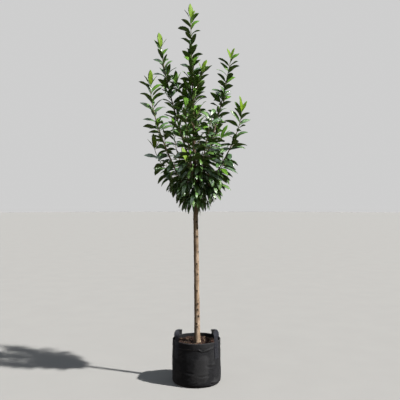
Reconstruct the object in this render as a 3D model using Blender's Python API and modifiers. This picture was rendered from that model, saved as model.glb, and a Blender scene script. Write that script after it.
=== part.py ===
# A potted standard laurel: one clear stem, an open upright crown of leafy shoots, and a soft
# fabric bag with two webbing handles. Metres, +Z up. The origin is the middle of the bag's
# flat underside, -Y is the front and +X the right.

import collections
import math
import random

import bmesh
import bpy
import numpy as np

PLANT = "potted_standard_laurel"
GAP = 0.0003  # clearance between solids that touch
SEED = "laurel"

# The bag
BAG_HEIGHT = 0.316
BAG_RIM_RADIUS = 0.1725
BAG_FOOT_RADIUS = 0.1775
BAG_EDGE_RADIUS = 0.020  # rounding between side and underside
BAG_WALL = 0.003
HEM_WALL = 0.0055
HEM_HEIGHT = 0.046
RIM_ROUND = 0.0015
TURN_STEPS = 36
ARC_STEPS = 3

# The soil: a flat seat round the stem that rises a little outward, and a shoulder by the bag
SOIL_TOP = 0.286
SEAT_RADIUS = 0.040
DISH_RADIUS = 0.120
DISH_RISE = 0.004
SHOULDER_WIDTH = 0.014
SHOULDER_DEPTH = 0.040

# The handles: each leg is sewn outside the bag, and the loop arches straight over to the other
STRAP_WIDTH = 0.048
STRAP_THICKNESS = 0.004
STRAP_CLEAR = 0.00045
STRAP_DOWN = 0.122  # how far a leg is sewn down from the rim
LOOP_RISE = 0.060  # from the rim to the middle of the loop
FRONT_LEG = 36.0  # degrees from the side towards the front
BACK_LEG = 43.0
LOOP_MIDDLE = (BACK_LEG - FRONT_LEG) / 2
LOOP_HALF = (BACK_LEG + FRONT_LEG) / 2
LEG_STANDS = 0.016  # how far a leg stays upright above the rim
LOOP_TILT = 4.0  # how far the top of the loop is tilted down on its outer side
LOOP_SQUARENESS = 0.75  # 1 is a half ellipse, and less has squarer shoulders
LOOP_STEPS = 24
WRAP_ENDS = 0.25  # the twist at which the strap no longer bends round the bag
STRAP_SEGMENTS = 24
STRAP_COLUMNS = 3

# The stem
TRUNK_FOOT = SOIL_TOP + GAP
TRUNK_TIP = 2.20
LEADER_BUD = 2.680
FOOT_X = 0.0045
TRUNK_LEAN = 0.0485  # to the left, over its whole height
LEAN_POWER = 1.5
TRUNK_BOW = 0.008  # to the back, in the middle
CLEAR_RADIUS = 0.0180
CROWN_BASE = 1.30
CROWN_RADIUS = 0.0178
TWIG_RADIUS = 0.0018
BUTT = 0.0040  # how much thicker the lower stem is, fading upward
BUTT_HEIGHT = 0.30
FLARE = 0.0040
FLARE_HEIGHT = 0.035
TRUNK_STEP = 0.10
CROWN_TAPER = 1.5  # 1 is an even taper through the crown, and more thins sooner

# The shoots
SWAY = 0.006
BOUGH_STEP = 0.030
STEM_STEP = 0.050
SHORT_STEM_STEP = 0.020
SHOOT_RADIUS = 0.0026
SHOOT_GROWTH = 0.0060  # added radius for each metre of shoot
LIMB_TAPER = 0.8
SIDE_TWIG_STEP = 0.30
SIDE_TWIG_FIRST = 0.03  # beyond the lowest leaf
SIDE_TWIG_LAST = 0.39  # short of the end bud
SIDE_TWIG_LENGTH = 0.125
SIDE_TWIG_RADIUS = 0.0026
SIDE_TWIG_TURN = 58.0
SIDE_TWIG_RISE = 44.0
SIDE_TWIG_CURVE = 30.0  # how much steeper it is at its end
SIDE_TWIG_BARE = 0.030
TWIG_STEP = 0.045

# The leaves
LEAF_STEP_LOW = 0.0240  # at the foot of the crown
LEAF_STEP_HIGH = 0.0360  # above STEP_OPENS
STEP_OPENS = 2.0
SHORT_LEAF_STEP = 0.0135  # on the short twigs along the trunk
FIRST_LEAF = 0.010  # from where the stem shows to its lowest leaf
GOLDEN_TURN = 137.5
SPIRAL_CLOSED = 0.45  # of a full turn, at the foot of the crown
SPIRAL_OPENS = 1.62
LEAF_LENGTH_LOW = 0.136
LEAF_LENGTH_HIGH = 0.112
LEAF_WIDTH = 0.35  # of the length
LEAF_DEPTH = 0.032  # of the length, at the midrib
BLADE_RINGS = (0.32, 0.70)  # where the blade is widest, and where it starts to narrow
BLADE_TAPER = 0.82
ROOT_DEPTH = 0.65  # of the stem's radius, past its middle
LENGTH_SETTLES = 2.30  # height above which leaves have the high length
LENGTH_SPREAD = (0.88, 1.10)
TIP_SHRINK = 0.2  # how much shorter a leaf is beside the end bud
TIP_SHRINK_FADES = 0.06
PITCH_HEIGHTS = (CROWN_BASE, 1.45, 1.60, 1.80, 2.10)  # leaves hang at the foot of the crown,
PITCHES = (-60.0, -42.0, -18.0, 14.0, 34.0)  # lie level in its middle and rise at its top
TIP_LIFT_HEIGHTS = (1.42, 1.65)
TIP_LIFTS = (6.0, 32.0)  # added to the pitch beside the end bud
TIP_LIFT_FADES = 0.10
PITCH_STRAY = 15.0
HEADING_STRAY = 14.0
LEAF_ARCH = 42.0
ARCH_SPREAD = (0.6, 1.3)
LEAF_ROLL = 40.0  # either way about its midrib
NEW_LEAVES = 3
NEW_LEAF_LENGTH = 0.104
NEW_LENGTH_SPREAD = (0.75, 1.00)
NEW_LEAF_PITCH = 52.0
NEW_LEAF_CLOSING = 8.0
NEW_LEAF_ARCH = 16.0
TUFT_LENGTH = 0.024
STEM_SAMPLE = 0.008  # spacing of the points that stand for a stem when its space is tested
CELL_MARGIN = 0.0025
TRUNK_MARGIN = 0.006
LIMB_MARGIN = 0.0025

# Where a leaf finds no room it turns outward by a share of its angle, then shrinks, then lifts
LEAF_TRIES = (
    (0.0, 1.0, 0), (0.25, 1.0, 0), (0.5, 1.0, 0), (0.75, 1.0, 0), (1.0, 1.0, 0),
    (0.5, 0.8, 12), (1.0, 0.8, 12), (0.3, 0.7, 30), (0.8, 0.7, 30),
)

Shoot = collections.namedtuple("Shoot", "name start heading reach bud bow bough")

# Height on the stem, compass heading (0 right, 90 back), reach from the stem, height of the
# end bud, how soon it turns upright, and the share of its length that is a bare bough.
LONG_SHOOTS = (
    Shoot("left", 1.300, 200, 0.344, 2.160, 1.65, 0.14),
    Shoot("low_left", 1.345, 165, 0.318, 1.722, 1.45, 0.20),
    Shoot("high_left", 1.500, 152, 0.300, 2.505, 1.20, 0.09),
    Shoot("high_right", 1.395, 33, 0.324, 2.430, 1.24, 0.11),
    Shoot("right", 1.316, 335, 0.364, 1.965, 1.54, 0.17),
    Shoot("front", 1.400, 255, 0.250, 1.995, 1.45, 0.14),
    Shoot("front_right", 1.430, 294, 0.275, 1.935, 1.45, 0.15),
    Shoot("back", 1.435, 92, 0.259, 2.235, 1.45, 0.12),
    Shoot("back_left", 1.375, 125, 0.310, 1.890, 1.45, 0.15),
    Shoot("back_right", 1.325, 62, 0.300, 1.935, 1.45, 0.15),
)

# The same measures for shoots that grow leafy straight from the stem
SHORT_SHOOTS = (
    Shoot("upper_right", 2.090, 320, 0.085, 2.270, 1.3, 0.0),
    Shoot("upper_left", 2.030, 150, 0.150, 2.215, 1.3, 0.0),
    Shoot("low_front", 1.500, 232, 0.105, 1.616, 1.3, 0.0),
    Shoot("mid_right", 1.540, 348, 0.195, 1.790, 1.3, 0.0),
)

# Short twigs that wind up the stem between the shoots
SPUR_COUNT = 6
SPUR_LOWEST = 1.620
SPUR_SPACING = 0.070
SPUR_FIRST = 10.0
SPUR_REACH = 0.075
SPUR_RISE = 0.105

# Short twigs whose leaves hang as a skirt: the lowest under the boughs, the others between them
SKIRT_PLACES = ((238, 1.344), (272, 1.338), (300, 1.346), (4, 1.350), (82, 1.330), (153, 1.342))
SKIRT_REACH = 0.080
SKIRT_RISE = 0.010
FILLER_PLACES = ((226, 1.380), (275, 1.352), (315, 1.378), (4, 1.400), (110, 1.335))
FILLER_REACH = 0.120
FILLER_RISE = 0.045


def clear_scene():
    for obj in list(bpy.data.objects):
        bpy.data.objects.remove(obj, do_unlink=True)


def new_collection(name):
    collection = bpy.data.collections.new(name)
    bpy.context.scene.collection.children.link(collection)
    return collection


def new_material(name, colour, roughness):
    material = bpy.data.materials.new(name)
    material.use_nodes = True
    shader = material.node_tree.nodes["Principled BSDF"]
    shader.inputs["Base Color"].default_value = (*colour, 1.0)
    shader.inputs["Roughness"].default_value = roughness
    shader.inputs["Metallic"].default_value = 0.0
    return material


def bag_fabric():
    return new_material("bag_fabric", (0.018, 0.018, 0.020), 0.85)


def strap_webbing():
    return new_material("strap_webbing", (0.025, 0.025, 0.028), 0.70)


def bark_chips():
    return new_material("bark_chips", (0.085, 0.042, 0.025), 0.95)


def stem_bark():
    return new_material("stem_bark", (0.150, 0.118, 0.092), 0.85)


def twig_bark():
    return new_material("twig_bark", (0.110, 0.095, 0.040), 0.70)


def laurel_leaf():
    return new_material("laurel_leaf", (0.018, 0.055, 0.014), 0.35)


def new_leaf():
    return new_material("new_leaf", (0.190, 0.330, 0.030), 0.45)


def put(name, mesh, collection, *materials):
    obj = bpy.data.objects.new(name, mesh)
    collection.objects.link(obj)
    for material in materials:
        mesh.materials.append(material)
    return obj


def evaluated_mesh(obj):
    graph = bpy.context.evaluated_depsgraph_get()
    return bpy.data.meshes.new_from_object(obj.evaluated_get(graph))


# The bag and its soil

def bag_radius(height):
    return BAG_FOOT_RADIUS + (BAG_RIM_RADIUS - BAG_FOOT_RADIUS) * height / BAG_HEIGHT


def foot_arc(inset):
    """The rounded foot, as (radius, height) from the underside to the side, inset by a wall."""
    centre = bag_radius(BAG_EDGE_RADIUS) - BAG_EDGE_RADIUS
    radius = BAG_EDGE_RADIUS - inset
    angles = np.linspace(-math.pi / 2, 0.0, ARC_STEPS + 1)
    return [(centre + radius * math.cos(a), BAG_EDGE_RADIUS + radius * math.sin(a)) for a in angles]


def turned(name, profile, material, collection):
    mesh = bpy.data.meshes.new(name)
    mesh.from_pydata(
        [(radius, 0.0, height) for radius, height in profile],
        [(i, i + 1) for i in range(len(profile) - 1)],
        [],
    )
    obj = put(name, mesh, collection, material)
    screw = obj.modifiers.new("Turn", "SCREW")
    screw.angle = math.tau
    screw.steps = TURN_STEPS
    screw.render_steps = TURN_STEPS
    screw.use_merge_vertices = True
    screw.merge_threshold = 0.00005
    screw.use_smooth_shade = True
    return obj


def build_bag(collection):
    hem_foot = BAG_HEIGHT - HEM_HEIGHT
    shoulder = BAG_HEIGHT - RIM_ROUND
    inside = [
        (bag_radius(hem_foot) - BAG_WALL, hem_foot - HEM_WALL),
        (bag_radius(hem_foot) - HEM_WALL, hem_foot),
        (bag_radius(shoulder) - HEM_WALL, shoulder),
    ]
    rim = [
        (BAG_RIM_RADIUS - HEM_WALL + RIM_ROUND, BAG_HEIGHT),
        (BAG_RIM_RADIUS - RIM_ROUND, BAG_HEIGHT),
        (bag_radius(shoulder), shoulder),
    ]
    outside = [*reversed(foot_arc(0.0)), (0.0, 0.0)]
    profile = [(0.0, BAG_WALL), *foot_arc(BAG_WALL), *inside, *rim, *outside]
    return turned("pot", profile, bag_fabric(), collection)


def build_soil(collection):
    inset = BAG_WALL + GAP
    meets_bag = SOIL_TOP - SHOULDER_DEPTH
    side = bag_radius(meets_bag) - inset
    profile = [
        (0.0, SOIL_TOP),
        (SEAT_RADIUS, SOIL_TOP),
        (DISH_RADIUS, SOIL_TOP + DISH_RISE),
        (side - SHOULDER_WIDTH, SOIL_TOP + DISH_RISE),
        (side, meets_bag),
        *reversed(foot_arc(inset)),
        (0.0, inset),
    ]
    return turned("soil", profile, bark_chips(), collection)


# The handles

def loop_route():
    """(angle from the side, height, twist) along a strap, from the foot of its front leg to the
    foot of its back leg, over an arch that is a half ellipse with squared shoulders. The twist
    turns the strap's width from along the rim at the legs to across it at the top."""
    foot = BAG_HEIGHT - STRAP_DOWN
    spring = BAG_HEIGHT + LEG_STANDS
    turn = np.linspace(0.0, math.pi, LOOP_STEPS + 1)
    along = np.sign(np.cos(turn)) * np.abs(np.cos(turn)) ** LOOP_SQUARENESS
    up = np.abs(np.sin(turn)) ** LOOP_SQUARENESS
    angle = LOOP_MIDDLE - LOOP_HALF * along
    arch = np.stack([angle, spring + (LOOP_RISE - LEG_STANDS) * up, 1.0 - along], axis=1)
    return np.concatenate([[(-FRONT_LEG, foot, 0.0)], arch, [(BACK_LEG, foot, 2.0)]])


def build_handle(name, side, material, collection):
    """side is 1 on the right and -1 on the left, where the strap is mirrored."""
    stops = loop_route()
    angle, height, twist = stops.T
    chord = math.cos(math.radians(LOOP_HALF)) / np.cos(np.radians(angle - LOOP_MIDDLE))
    angle = np.radians(angle)
    wall = bag_radius(np.minimum(height, BAG_HEIGHT)) + STRAP_CLEAR + STRAP_THICKNESS / 2
    middle = wall * chord
    route = np.stack([middle * np.cos(angle), middle * np.sin(angle), height], axis=1)
    run = np.concatenate([[0.0], np.cumsum(np.linalg.norm(np.diff(route, axis=0), axis=1))])
    even = np.linspace(0.0, run[-1], STRAP_SEGMENTS + 1)
    angle, height, twist, middle = (np.interp(even, run, v) for v in (angle, height, twist, middle))
    outward = np.stack([np.cos(angle), np.sin(angle), 0 * angle], axis=1)
    around = np.stack([-np.sin(angle), np.cos(angle), 0 * angle], axis=1)
    route = outward * middle[:, None] + np.array([0, 0, 1]) * height[:, None]
    forward = np.gradient(route, axis=0)
    forward /= np.linalg.norm(forward, axis=1)[:, None]
    turn = (twist * math.pi / 2)[:, None]
    tilt = math.radians(LOOP_TILT)
    tilted = outward * math.cos(tilt) - np.array([0, 0, math.sin(tilt)])
    across = np.cos(turn) * around + np.sin(turn) * tilted
    across -= forward * (across * forward).sum(axis=1)[:, None]
    across /= np.linalg.norm(across, axis=1)[:, None]

    mesh = bmesh.new()
    bmesh.ops.create_grid(mesh, x_segments=STRAP_SEGMENTS, y_segments=STRAP_COLUMNS, size=0.5)
    for vert in mesh.verts:
        place = round((vert.co.x + 0.5) * STRAP_SEGMENTS)
        point = route[place] + across[place] * vert.co.y * STRAP_WIDTH
        twisted = min(twist[place], 2.0 - twist[place])
        sewn = max(0.0, 1.0 - twisted / WRAP_ENDS)
        flat = math.hypot(point[0], point[1])
        wrap = 1.0 + sewn * (middle[place] / flat - 1.0)
        vert.co = (side * point[0] * wrap, point[1] * wrap, point[2])
    if side < 0:
        bmesh.ops.reverse_faces(mesh, faces=mesh.faces)
    strap = bpy.data.meshes.new(name)
    mesh.to_mesh(strap)
    mesh.free()
    strap.shade_smooth()
    obj = put(name, strap, collection, material)
    wall = obj.modifiers.new("Thickness", "SOLIDIFY")
    wall.thickness = STRAP_THICKNESS
    wall.offset = 0.0
    return obj


# The stem and the limbs

def trunk_axis(height):
    share = (height - TRUNK_FOOT) / (LEADER_BUD - TRUNK_FOOT)
    share = np.clip(share, 0.0, 1.0)
    x = FOOT_X - TRUNK_LEAN * share**LEAN_POWER
    y = TRUNK_BOW * np.sin(math.pi * share)
    return np.stack([x, y, height + 0 * share], axis=-1)


def trunk_radius(height):
    climb = np.clip((height - TRUNK_FOOT) / (CROWN_BASE - TRUNK_FOOT), 0.0, 1.0)
    clear = CLEAR_RADIUS + (CROWN_RADIUS - CLEAR_RADIUS) * climb
    crown = np.clip((height - CROWN_BASE) / (LEADER_BUD - CROWN_BASE), 0.0, 1.0)
    above = height - TRUNK_FOOT
    widening = BUTT * np.exp(-above / BUTT_HEIGHT) + FLARE * np.exp(-above / FLARE_HEIGHT)
    return TWIG_RADIUS + (clear - TWIG_RADIUS) * (1.0 - crown) ** CROWN_TAPER + widening


def tube(name, points, radii, roundness, material, collection):
    curve = bpy.data.curves.new(name, "CURVE")
    curve.dimensions = "3D"
    curve.bevel_depth = 1.0
    curve.bevel_resolution = roundness
    curve.use_fill_caps = True
    spline = curve.splines.new("POLY")
    spline.points.add(len(points) - 1)
    for knot, point, radius in zip(spline.points, points, radii):
        knot.co = (*point, 1.0)
        knot.radius = radius
    curve.materials.append(material)
    obj = bpy.data.objects.new(name, curve)
    collection.objects.link(obj)
    return obj


def meshed(obj, collection):
    """The same tube as a mesh, with its caps welded on."""
    mesh = evaluated_mesh(obj)
    skin = bmesh.new()
    skin.from_mesh(mesh)
    bmesh.ops.remove_doubles(skin, verts=skin.verts, dist=0.000001)
    bmesh.ops.recalc_face_normals(skin, faces=skin.faces)
    skin.to_mesh(mesh)
    skin.free()
    name = obj.name
    place = obj.matrix_world.copy()
    bpy.data.objects.remove(obj, do_unlink=True)
    made = bpy.data.objects.new(name, mesh)
    made.matrix_world = place
    collection.objects.link(made)
    return made


def trunk_tube(name, clearance, roundness, material, collection):
    low = TRUNK_FOOT + FLARE_HEIGHT * np.array([0.0, 0.35, 1.0])
    steps = round((TRUNK_TIP - low[-1]) / TRUNK_STEP)
    heights = np.concatenate([low[:-1], np.linspace(low[-1], TRUNK_TIP, steps + 1)])
    points = trunk_axis(heights)
    points[0, :2] = points[1, :2]
    return tube(name, points, trunk_radius(heights) + clearance, roundness, material, collection)


def shoot_route(shoot):
    """Points every few millimetres along a shoot, from the stem's middle to the end bud."""
    share = np.linspace(0.0, 1.0, 200)
    heading = math.radians(shoot.heading)
    out = shoot.reach * (1.0 - (1.0 - share) ** shoot.bow)
    sway = SWAY * share * np.sin(3 * math.pi * share + heading)
    base = trunk_axis(np.array(shoot.start))
    x = base[0] + out * math.cos(heading) - sway * math.sin(heading)
    y = base[1] + out * math.sin(heading) + sway * math.cos(heading)
    z = shoot.start + (shoot.bud - shoot.start) * share
    return np.stack([x, y, z], axis=1)


class Limb:
    """A route with its distance along it, and the radius of the wood at each distance."""

    def __init__(self, route, thick, thin=TWIG_RADIUS):
        self.route = route
        steps = np.linalg.norm(np.diff(route, axis=0), axis=1)
        self.run = np.concatenate([[0.0], np.cumsum(steps)])
        self.length = self.run[-1]
        self.thick = thick
        self.thin = thin

    def at(self, distance):
        distance = np.asarray(distance, float)
        return np.stack([np.interp(distance, self.run, axis) for axis in self.route.T], axis=-1)

    def radius(self, distance):
        left = 1.0 - np.asarray(distance) / self.length
        return self.thin + (self.thick - self.thin) * np.clip(left, 0.0, 1.0) ** LIMB_TAPER

    def leaves_trunk(self):
        """The distance along the limb at which its middle is clear of the trunk's bark."""
        axis = trunk_axis(self.route[:, 2])
        out = np.linalg.norm(self.route[:, :2] - axis[:, :2], axis=1)
        return self.run[np.argmax(out > trunk_radius(self.route[:, 2]) + TRUNK_MARGIN)]

    def between(self, start, end, step):
        return np.linspace(start, end, max(2, round((end - start) / step) + 1))


def limb_of(shoot):
    route = shoot_route(shoot)
    length = np.linalg.norm(np.diff(route, axis=0), axis=1).sum()
    return Limb(route, SHOOT_RADIUS + SHOOT_GROWTH * length)


def leader_limb():
    heights = np.linspace(TRUNK_TIP, LEADER_BUD, 200)
    return Limb(trunk_axis(heights), float(trunk_radius(TRUNK_TIP)))


def spur(index):
    start = SPUR_LOWEST + index * SPUR_SPACING
    heading = (SPUR_FIRST + index * GOLDEN_TURN) % 360
    return Shoot(f"spur_{index + 1}", start, heading, SPUR_REACH, start + SPUR_RISE, 1.2, 0.0)


def skirt(index, heading, start):
    return Shoot(f"skirt_{index + 1}", start, heading, SKIRT_REACH, start + SKIRT_RISE, 1.3, 0.0)


def filler(index, heading, start):
    return Shoot(f"filler_{index + 1}", start, heading, FILLER_REACH, start + FILLER_RISE, 1.2, 0.0)


# The leaves

class Leaf:
    """A blade whose midrib is an arc in an upright plane, from its root to its tip."""

    def __init__(self, root, heading, pitch, length, arch, roll, width=LEAF_WIDTH):
        self.root = np.array(root)
        self.length = length
        self.half = width * length / 2
        self.level = np.array([math.cos(heading), math.sin(heading), 0.0])
        self.arch = arch
        self.first = pitch + arch / 2
        self.roll = roll

    def midrib(self, share):
        first, last = self.first, self.first - self.arch * share
        out = (math.sin(first) - math.sin(last)) / self.arch
        up = (math.cos(last) - math.cos(first)) / self.arch
        return self.root + self.length * (self.level * out + np.array([0.0, 0.0, up]))

    def frame(self, share):
        """The blade's own across and upward directions at a share of its length."""
        lean = self.first - self.arch * share
        along = self.level * math.cos(lean) + np.array([0.0, 0.0, math.sin(lean)])
        upward = np.array([0.0, 0.0, math.cos(lean)]) - self.level * math.sin(lean)
        across = np.cross(along, upward)
        turned_across = across * math.cos(self.roll) + upward * math.sin(self.roll)
        return turned_across, np.cross(turned_across, along)

    def reach_points(self):
        """Points all over the blade, to test where it would lie."""
        points = []
        for share in np.linspace(0.1, 1.0, 11):
            middle = self.midrib(share)
            across, _ = self.frame(share)
            half = self.half * np.interp(share, (0.0, *BLADE_RINGS, 1.0), (0.0, 1.0, BLADE_TAPER, 0.0))
            points += [middle + across * half * part for part in (-1.0, -0.5, 0.0, 0.5, 1.0)]
        return np.array(points)


def leaf_solid(name, leaf, stem_radius, material, collection):
    """A three-cornered lens from pole to pole: the root inside the stem, two rings and the tip."""
    depth = LEAF_DEPTH * leaf.length
    rings = (
        (-ROOT_DEPTH * stem_radius / leaf.length, 0.0, 0.0),
        (BLADE_RINGS[0], leaf.half, depth),
        (BLADE_RINGS[1], leaf.half * BLADE_TAPER, depth * BLADE_TAPER),
        (1.0, 0.0, 0.0),
    )
    mesh = bmesh.new()
    bmesh.ops.create_uvsphere(mesh, u_segments=3, v_segments=len(rings) - 1, radius=1.0)
    for vert in mesh.verts:
        polar = math.acos(max(-1.0, min(1.0, vert.co.z)))
        share, half, thickness = rings[len(rings) - 1 - round(polar / math.pi * (len(rings) - 1))]
        corner = round(math.atan2(vert.co.y, vert.co.x) / (math.tau / 3)) % 3
        sideways, drop = ((0.0, -1.0), (1.0, 0.0), (-1.0, 0.0))[corner]
        across, upward = leaf.frame(share)
        vert.co = leaf.midrib(share) + across * half * sideways + upward * thickness * drop
    bmesh.ops.recalc_face_normals(mesh, faces=mesh.faces)
    blade = bpy.data.meshes.new(name)
    mesh.to_mesh(blade)
    mesh.free()
    return put(name, blade, collection, material)


def leaf_pitch(height, from_tip):
    lift = float(np.interp(height, TIP_LIFT_HEIGHTS, TIP_LIFTS)) * math.exp(-from_tip / TIP_LIFT_FADES)
    return math.radians(float(np.interp(height, PITCH_HEIGHTS, PITCHES)) + lift)


def leaf_step(height):
    return float(np.interp(height, (CROWN_BASE, STEP_OPENS), (LEAF_STEP_LOW, LEAF_STEP_HIGH)))


def leaf_length(height):
    lengths = (LEAF_LENGTH_LOW, LEAF_LENGTH_HIGH)
    return float(np.interp(height, (CROWN_BASE, LENGTH_SETTLES), lengths))


class Space:
    """The space of each mass: the points nearer its own stem than any other, clear of the limbs."""

    def __init__(self):
        self.stems = {}
        self.limbs = []

    def add_stem(self, name, points):
        self.stems[name] = points

    def add_limb(self, points, radii):
        self.limbs.append((points, radii))

    def holds(self, points, own):
        def nearest(places):
            return np.linalg.norm(points[:, None] - places[None], axis=2).min(axis=1)

        mine = nearest(self.stems[own]) + CELL_MARGIN
        for name, places in self.stems.items():
            if name != own and (nearest(places) < mine).any():
                return False
        for places, radii in self.limbs:
            clear = np.linalg.norm(points[:, None] - places[None], axis=2) - radii[None]
            if clear.min() < LIMB_MARGIN:
                return False
        return True


class Mass:
    """One mass of leaves: a stem, its side twigs, and leaves in a spiral on each of them."""

    def __init__(self, name, limb, start, first_leaf, space, materials):
        self.name = name
        self.limb = limb
        self.start = start
        self.first_leaf = first_leaf
        self.space = space
        self.bark, self.mature, self.young = materials
        self.chance = random.Random(SEED + name)
        self.pieces = new_collection(name + "_pieces")
        self.turn = self.chance.uniform(0.0, 360.0)
        self.leaves = 0

    def try_leaf(self, root, wood, heading, pitch, length, arch, material):
        """Adds the first leaf that keeps to the mass's space, as it turns towards the open side."""
        roll = math.radians(self.chance.uniform(-LEAF_ROLL, LEAF_ROLL))
        side = (heading - self.outward(root) + 180) % 360 - 180
        for share, size, lift in LEAF_TRIES:
            turned = math.radians(heading - side * share)
            leaf = Leaf(root, turned, pitch + math.radians(lift), length * size, arch, roll)
            if self.space.holds(leaf.reach_points(), self.name):
                self.leaves += 1
                leaf_solid(f"{self.name}_leaf_{self.leaves}", leaf, wood, material, self.pieces)
                return

    def outward(self, root):
        middle = trunk_axis(root[2])
        return math.degrees(math.atan2(root[1] - middle[1], root[0] - middle[0]))

    def outward_turn(self, root, turn):
        """Low in the crown the leaves hang outward, so their spiral closes up round that side."""
        outward = self.outward(root)
        share = float(np.interp(root[2], (CROWN_BASE, SPIRAL_OPENS), (SPIRAL_CLOSED, 1.0)))
        return outward + share * ((turn - outward + 180) % 360 - 180)

    def stray(self, degrees):
        return self.chance.uniform(-degrees, degrees)

    def leaves_along(self, limb, start, short, tuft):
        """Mature leaves in a spiral from start, and a tuft of young ones round the end bud."""
        last = limb.length - (TUFT_LENGTH if tuft else 0.0)
        distance = start
        while distance < last:
            root = limb.at(distance)
            from_tip = limb.length - distance
            self.turn += GOLDEN_TURN
            heading = self.outward_turn(root, self.turn) + self.stray(HEADING_STRAY)
            pitch = leaf_pitch(root[2], from_tip) + math.radians(self.stray(PITCH_STRAY))
            shrink = 1.0 - TIP_SHRINK * math.exp(-from_tip / TIP_SHRINK_FADES)
            length = leaf_length(root[2]) * shrink * self.chance.uniform(*LENGTH_SPREAD)
            arch = math.radians(LEAF_ARCH * self.chance.uniform(*ARCH_SPREAD))
            wood = float(limb.radius(distance))
            self.try_leaf(root, wood, heading, pitch, length, arch, self.mature)
            distance += SHORT_LEAF_STEP if short else leaf_step(root[2])
        if tuft:
            self.new_growth(limb)

    def new_growth(self, limb):
        for index in range(NEW_LEAVES):
            distance = limb.length - TUFT_LENGTH * (1.0 - 0.8 * index / NEW_LEAVES)
            root = limb.at(distance)
            self.turn += GOLDEN_TURN
            pitch = math.radians(NEW_LEAF_PITCH + NEW_LEAF_CLOSING * index)
            length = NEW_LEAF_LENGTH * self.chance.uniform(*NEW_LENGTH_SPREAD)
            arch = math.radians(NEW_LEAF_ARCH)
            wood = float(limb.radius(distance))
            self.try_leaf(root, wood, self.turn, pitch, length, arch, self.young)

    def side_twig(self, distance, heading):
        """A short twig that leaves the stem to one side and turns upward."""
        root = self.limb.at(distance)
        share = np.linspace(0.0, 1.0, 30)
        heading = math.radians(heading)
        length = SIDE_TWIG_LENGTH * self.chance.uniform(0.8, 1.25)
        rise = np.radians(SIDE_TWIG_RISE + SIDE_TWIG_CURVE * share)
        step = length / (len(share) - 1)
        out = np.concatenate([[0.0], np.cumsum(np.cos(rise[:-1])) * step])
        up = np.concatenate([[0.0], np.cumsum(np.sin(rise[:-1])) * step])
        route = root + np.stack([out * math.cos(heading), out * math.sin(heading), up], axis=1)
        if not self.space.holds(route[6:], self.name):
            return
        limb = Limb(route, SIDE_TWIG_RADIUS)
        stops = limb.between(0.0, limb.length, TWIG_STEP)
        name = f"{self.name}_twig_{distance:.3f}"
        twig = tube(name, limb.at(stops), limb.radius(stops), 0, self.bark, self.pieces)
        meshed(twig, self.pieces)
        self.leaves_along(limb, SIDE_TWIG_BARE, False, False)

    def side_twigs(self):
        side = 1
        distance = self.first_leaf + SIDE_TWIG_FIRST
        across = self.limb.route[-1] - self.limb.route[0]
        heading = math.degrees(math.atan2(across[1], across[0]))
        while distance < self.limb.length - SIDE_TWIG_LAST:
            self.side_twig(distance, heading + side * SIDE_TWIG_TURN)
            side = -side
            distance += SIDE_TWIG_STEP * self.chance.uniform(0.85, 1.15)

    def fuse(self, stem, cutter, collection):
        """Cuts the stem clear of the trunk, joins twigs and leaves to it, and keeps the outer skin."""
        if cutter:
            cut = stem.modifiers.new("Clear of trunk", "BOOLEAN")
            cut.operation = "DIFFERENCE"
            cut.object = cutter
        join = stem.modifiers.new("Join leaves", "BOOLEAN")
        join.operation = "UNION"
        join.operand_type = "COLLECTION"
        join.collection = self.pieces
        join.material_mode = "TRANSFER"
        mesh = outer_skin(evaluated_mesh(stem))
        bpy.data.objects.remove(stem, do_unlink=True)
        for piece in list(self.pieces.objects):
            bpy.data.objects.remove(piece, do_unlink=True)
        bpy.data.collections.remove(self.pieces)
        mesh.shade_smooth()
        mesh.set_sharp_from_angle(angle=math.radians(30))
        return put(self.name, mesh, collection)

    def build(self, cutter, collection):
        short = self.name.startswith(("spur", "skirt", "filler"))
        step = SHORT_STEM_STEP if short else STEM_STEP
        stops = self.limb.between(self.start, self.limb.length, step)
        radii = self.limb.radius(stops)
        stem = tube(self.name + "_stem", self.limb.at(stops), radii, 0, self.bark, collection)
        stem = meshed(stem, collection)
        self.leaves_along(self.limb, self.first_leaf, short, not short)
        self.side_twigs()
        return self.fuse(stem, cutter, collection)


def outer_skin(mesh):
    """The mesh without loose scraps or sealed hollows: only the tallest of its islands."""
    skin = bmesh.new()
    skin.from_mesh(mesh)
    left = set(skin.faces)
    islands = []
    while left:
        edge_of_search = [left.pop()]
        island = []
        while edge_of_search:
            face = edge_of_search.pop()
            island.append(face)
            for edge in face.edges:
                for other in edge.link_faces:
                    if other in left:
                        left.remove(other)
                        edge_of_search.append(other)
        islands.append(island)

    def size(island):
        heights = [vert.co.z for face in island for vert in face.verts]
        return max(heights) - min(heights)

    keep = max(islands, key=size)
    scraps = [face for island in islands if island is not keep for face in island]
    bmesh.ops.delete(skin, geom=scraps, context="FACES")
    skin.to_mesh(mesh)
    skin.free()
    return mesh


def build_bough(shoot, limb, cutter, material, collection):
    end = limb.length * shoot.bough
    stops = limb.between(0.0, end, BOUGH_STEP)
    bough = tube("bough_" + shoot.name, limb.at(stops), limb.radius(stops), 2, material, collection)
    bough = meshed(bough, collection)
    bough.data.shade_smooth()
    bough.data.set_sharp_from_angle(angle=math.radians(50))
    cut = bough.modifiers.new("Clear of trunk", "BOOLEAN")
    cut.operation = "DIFFERENCE"
    cut.object = cutter
    return bough


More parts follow.
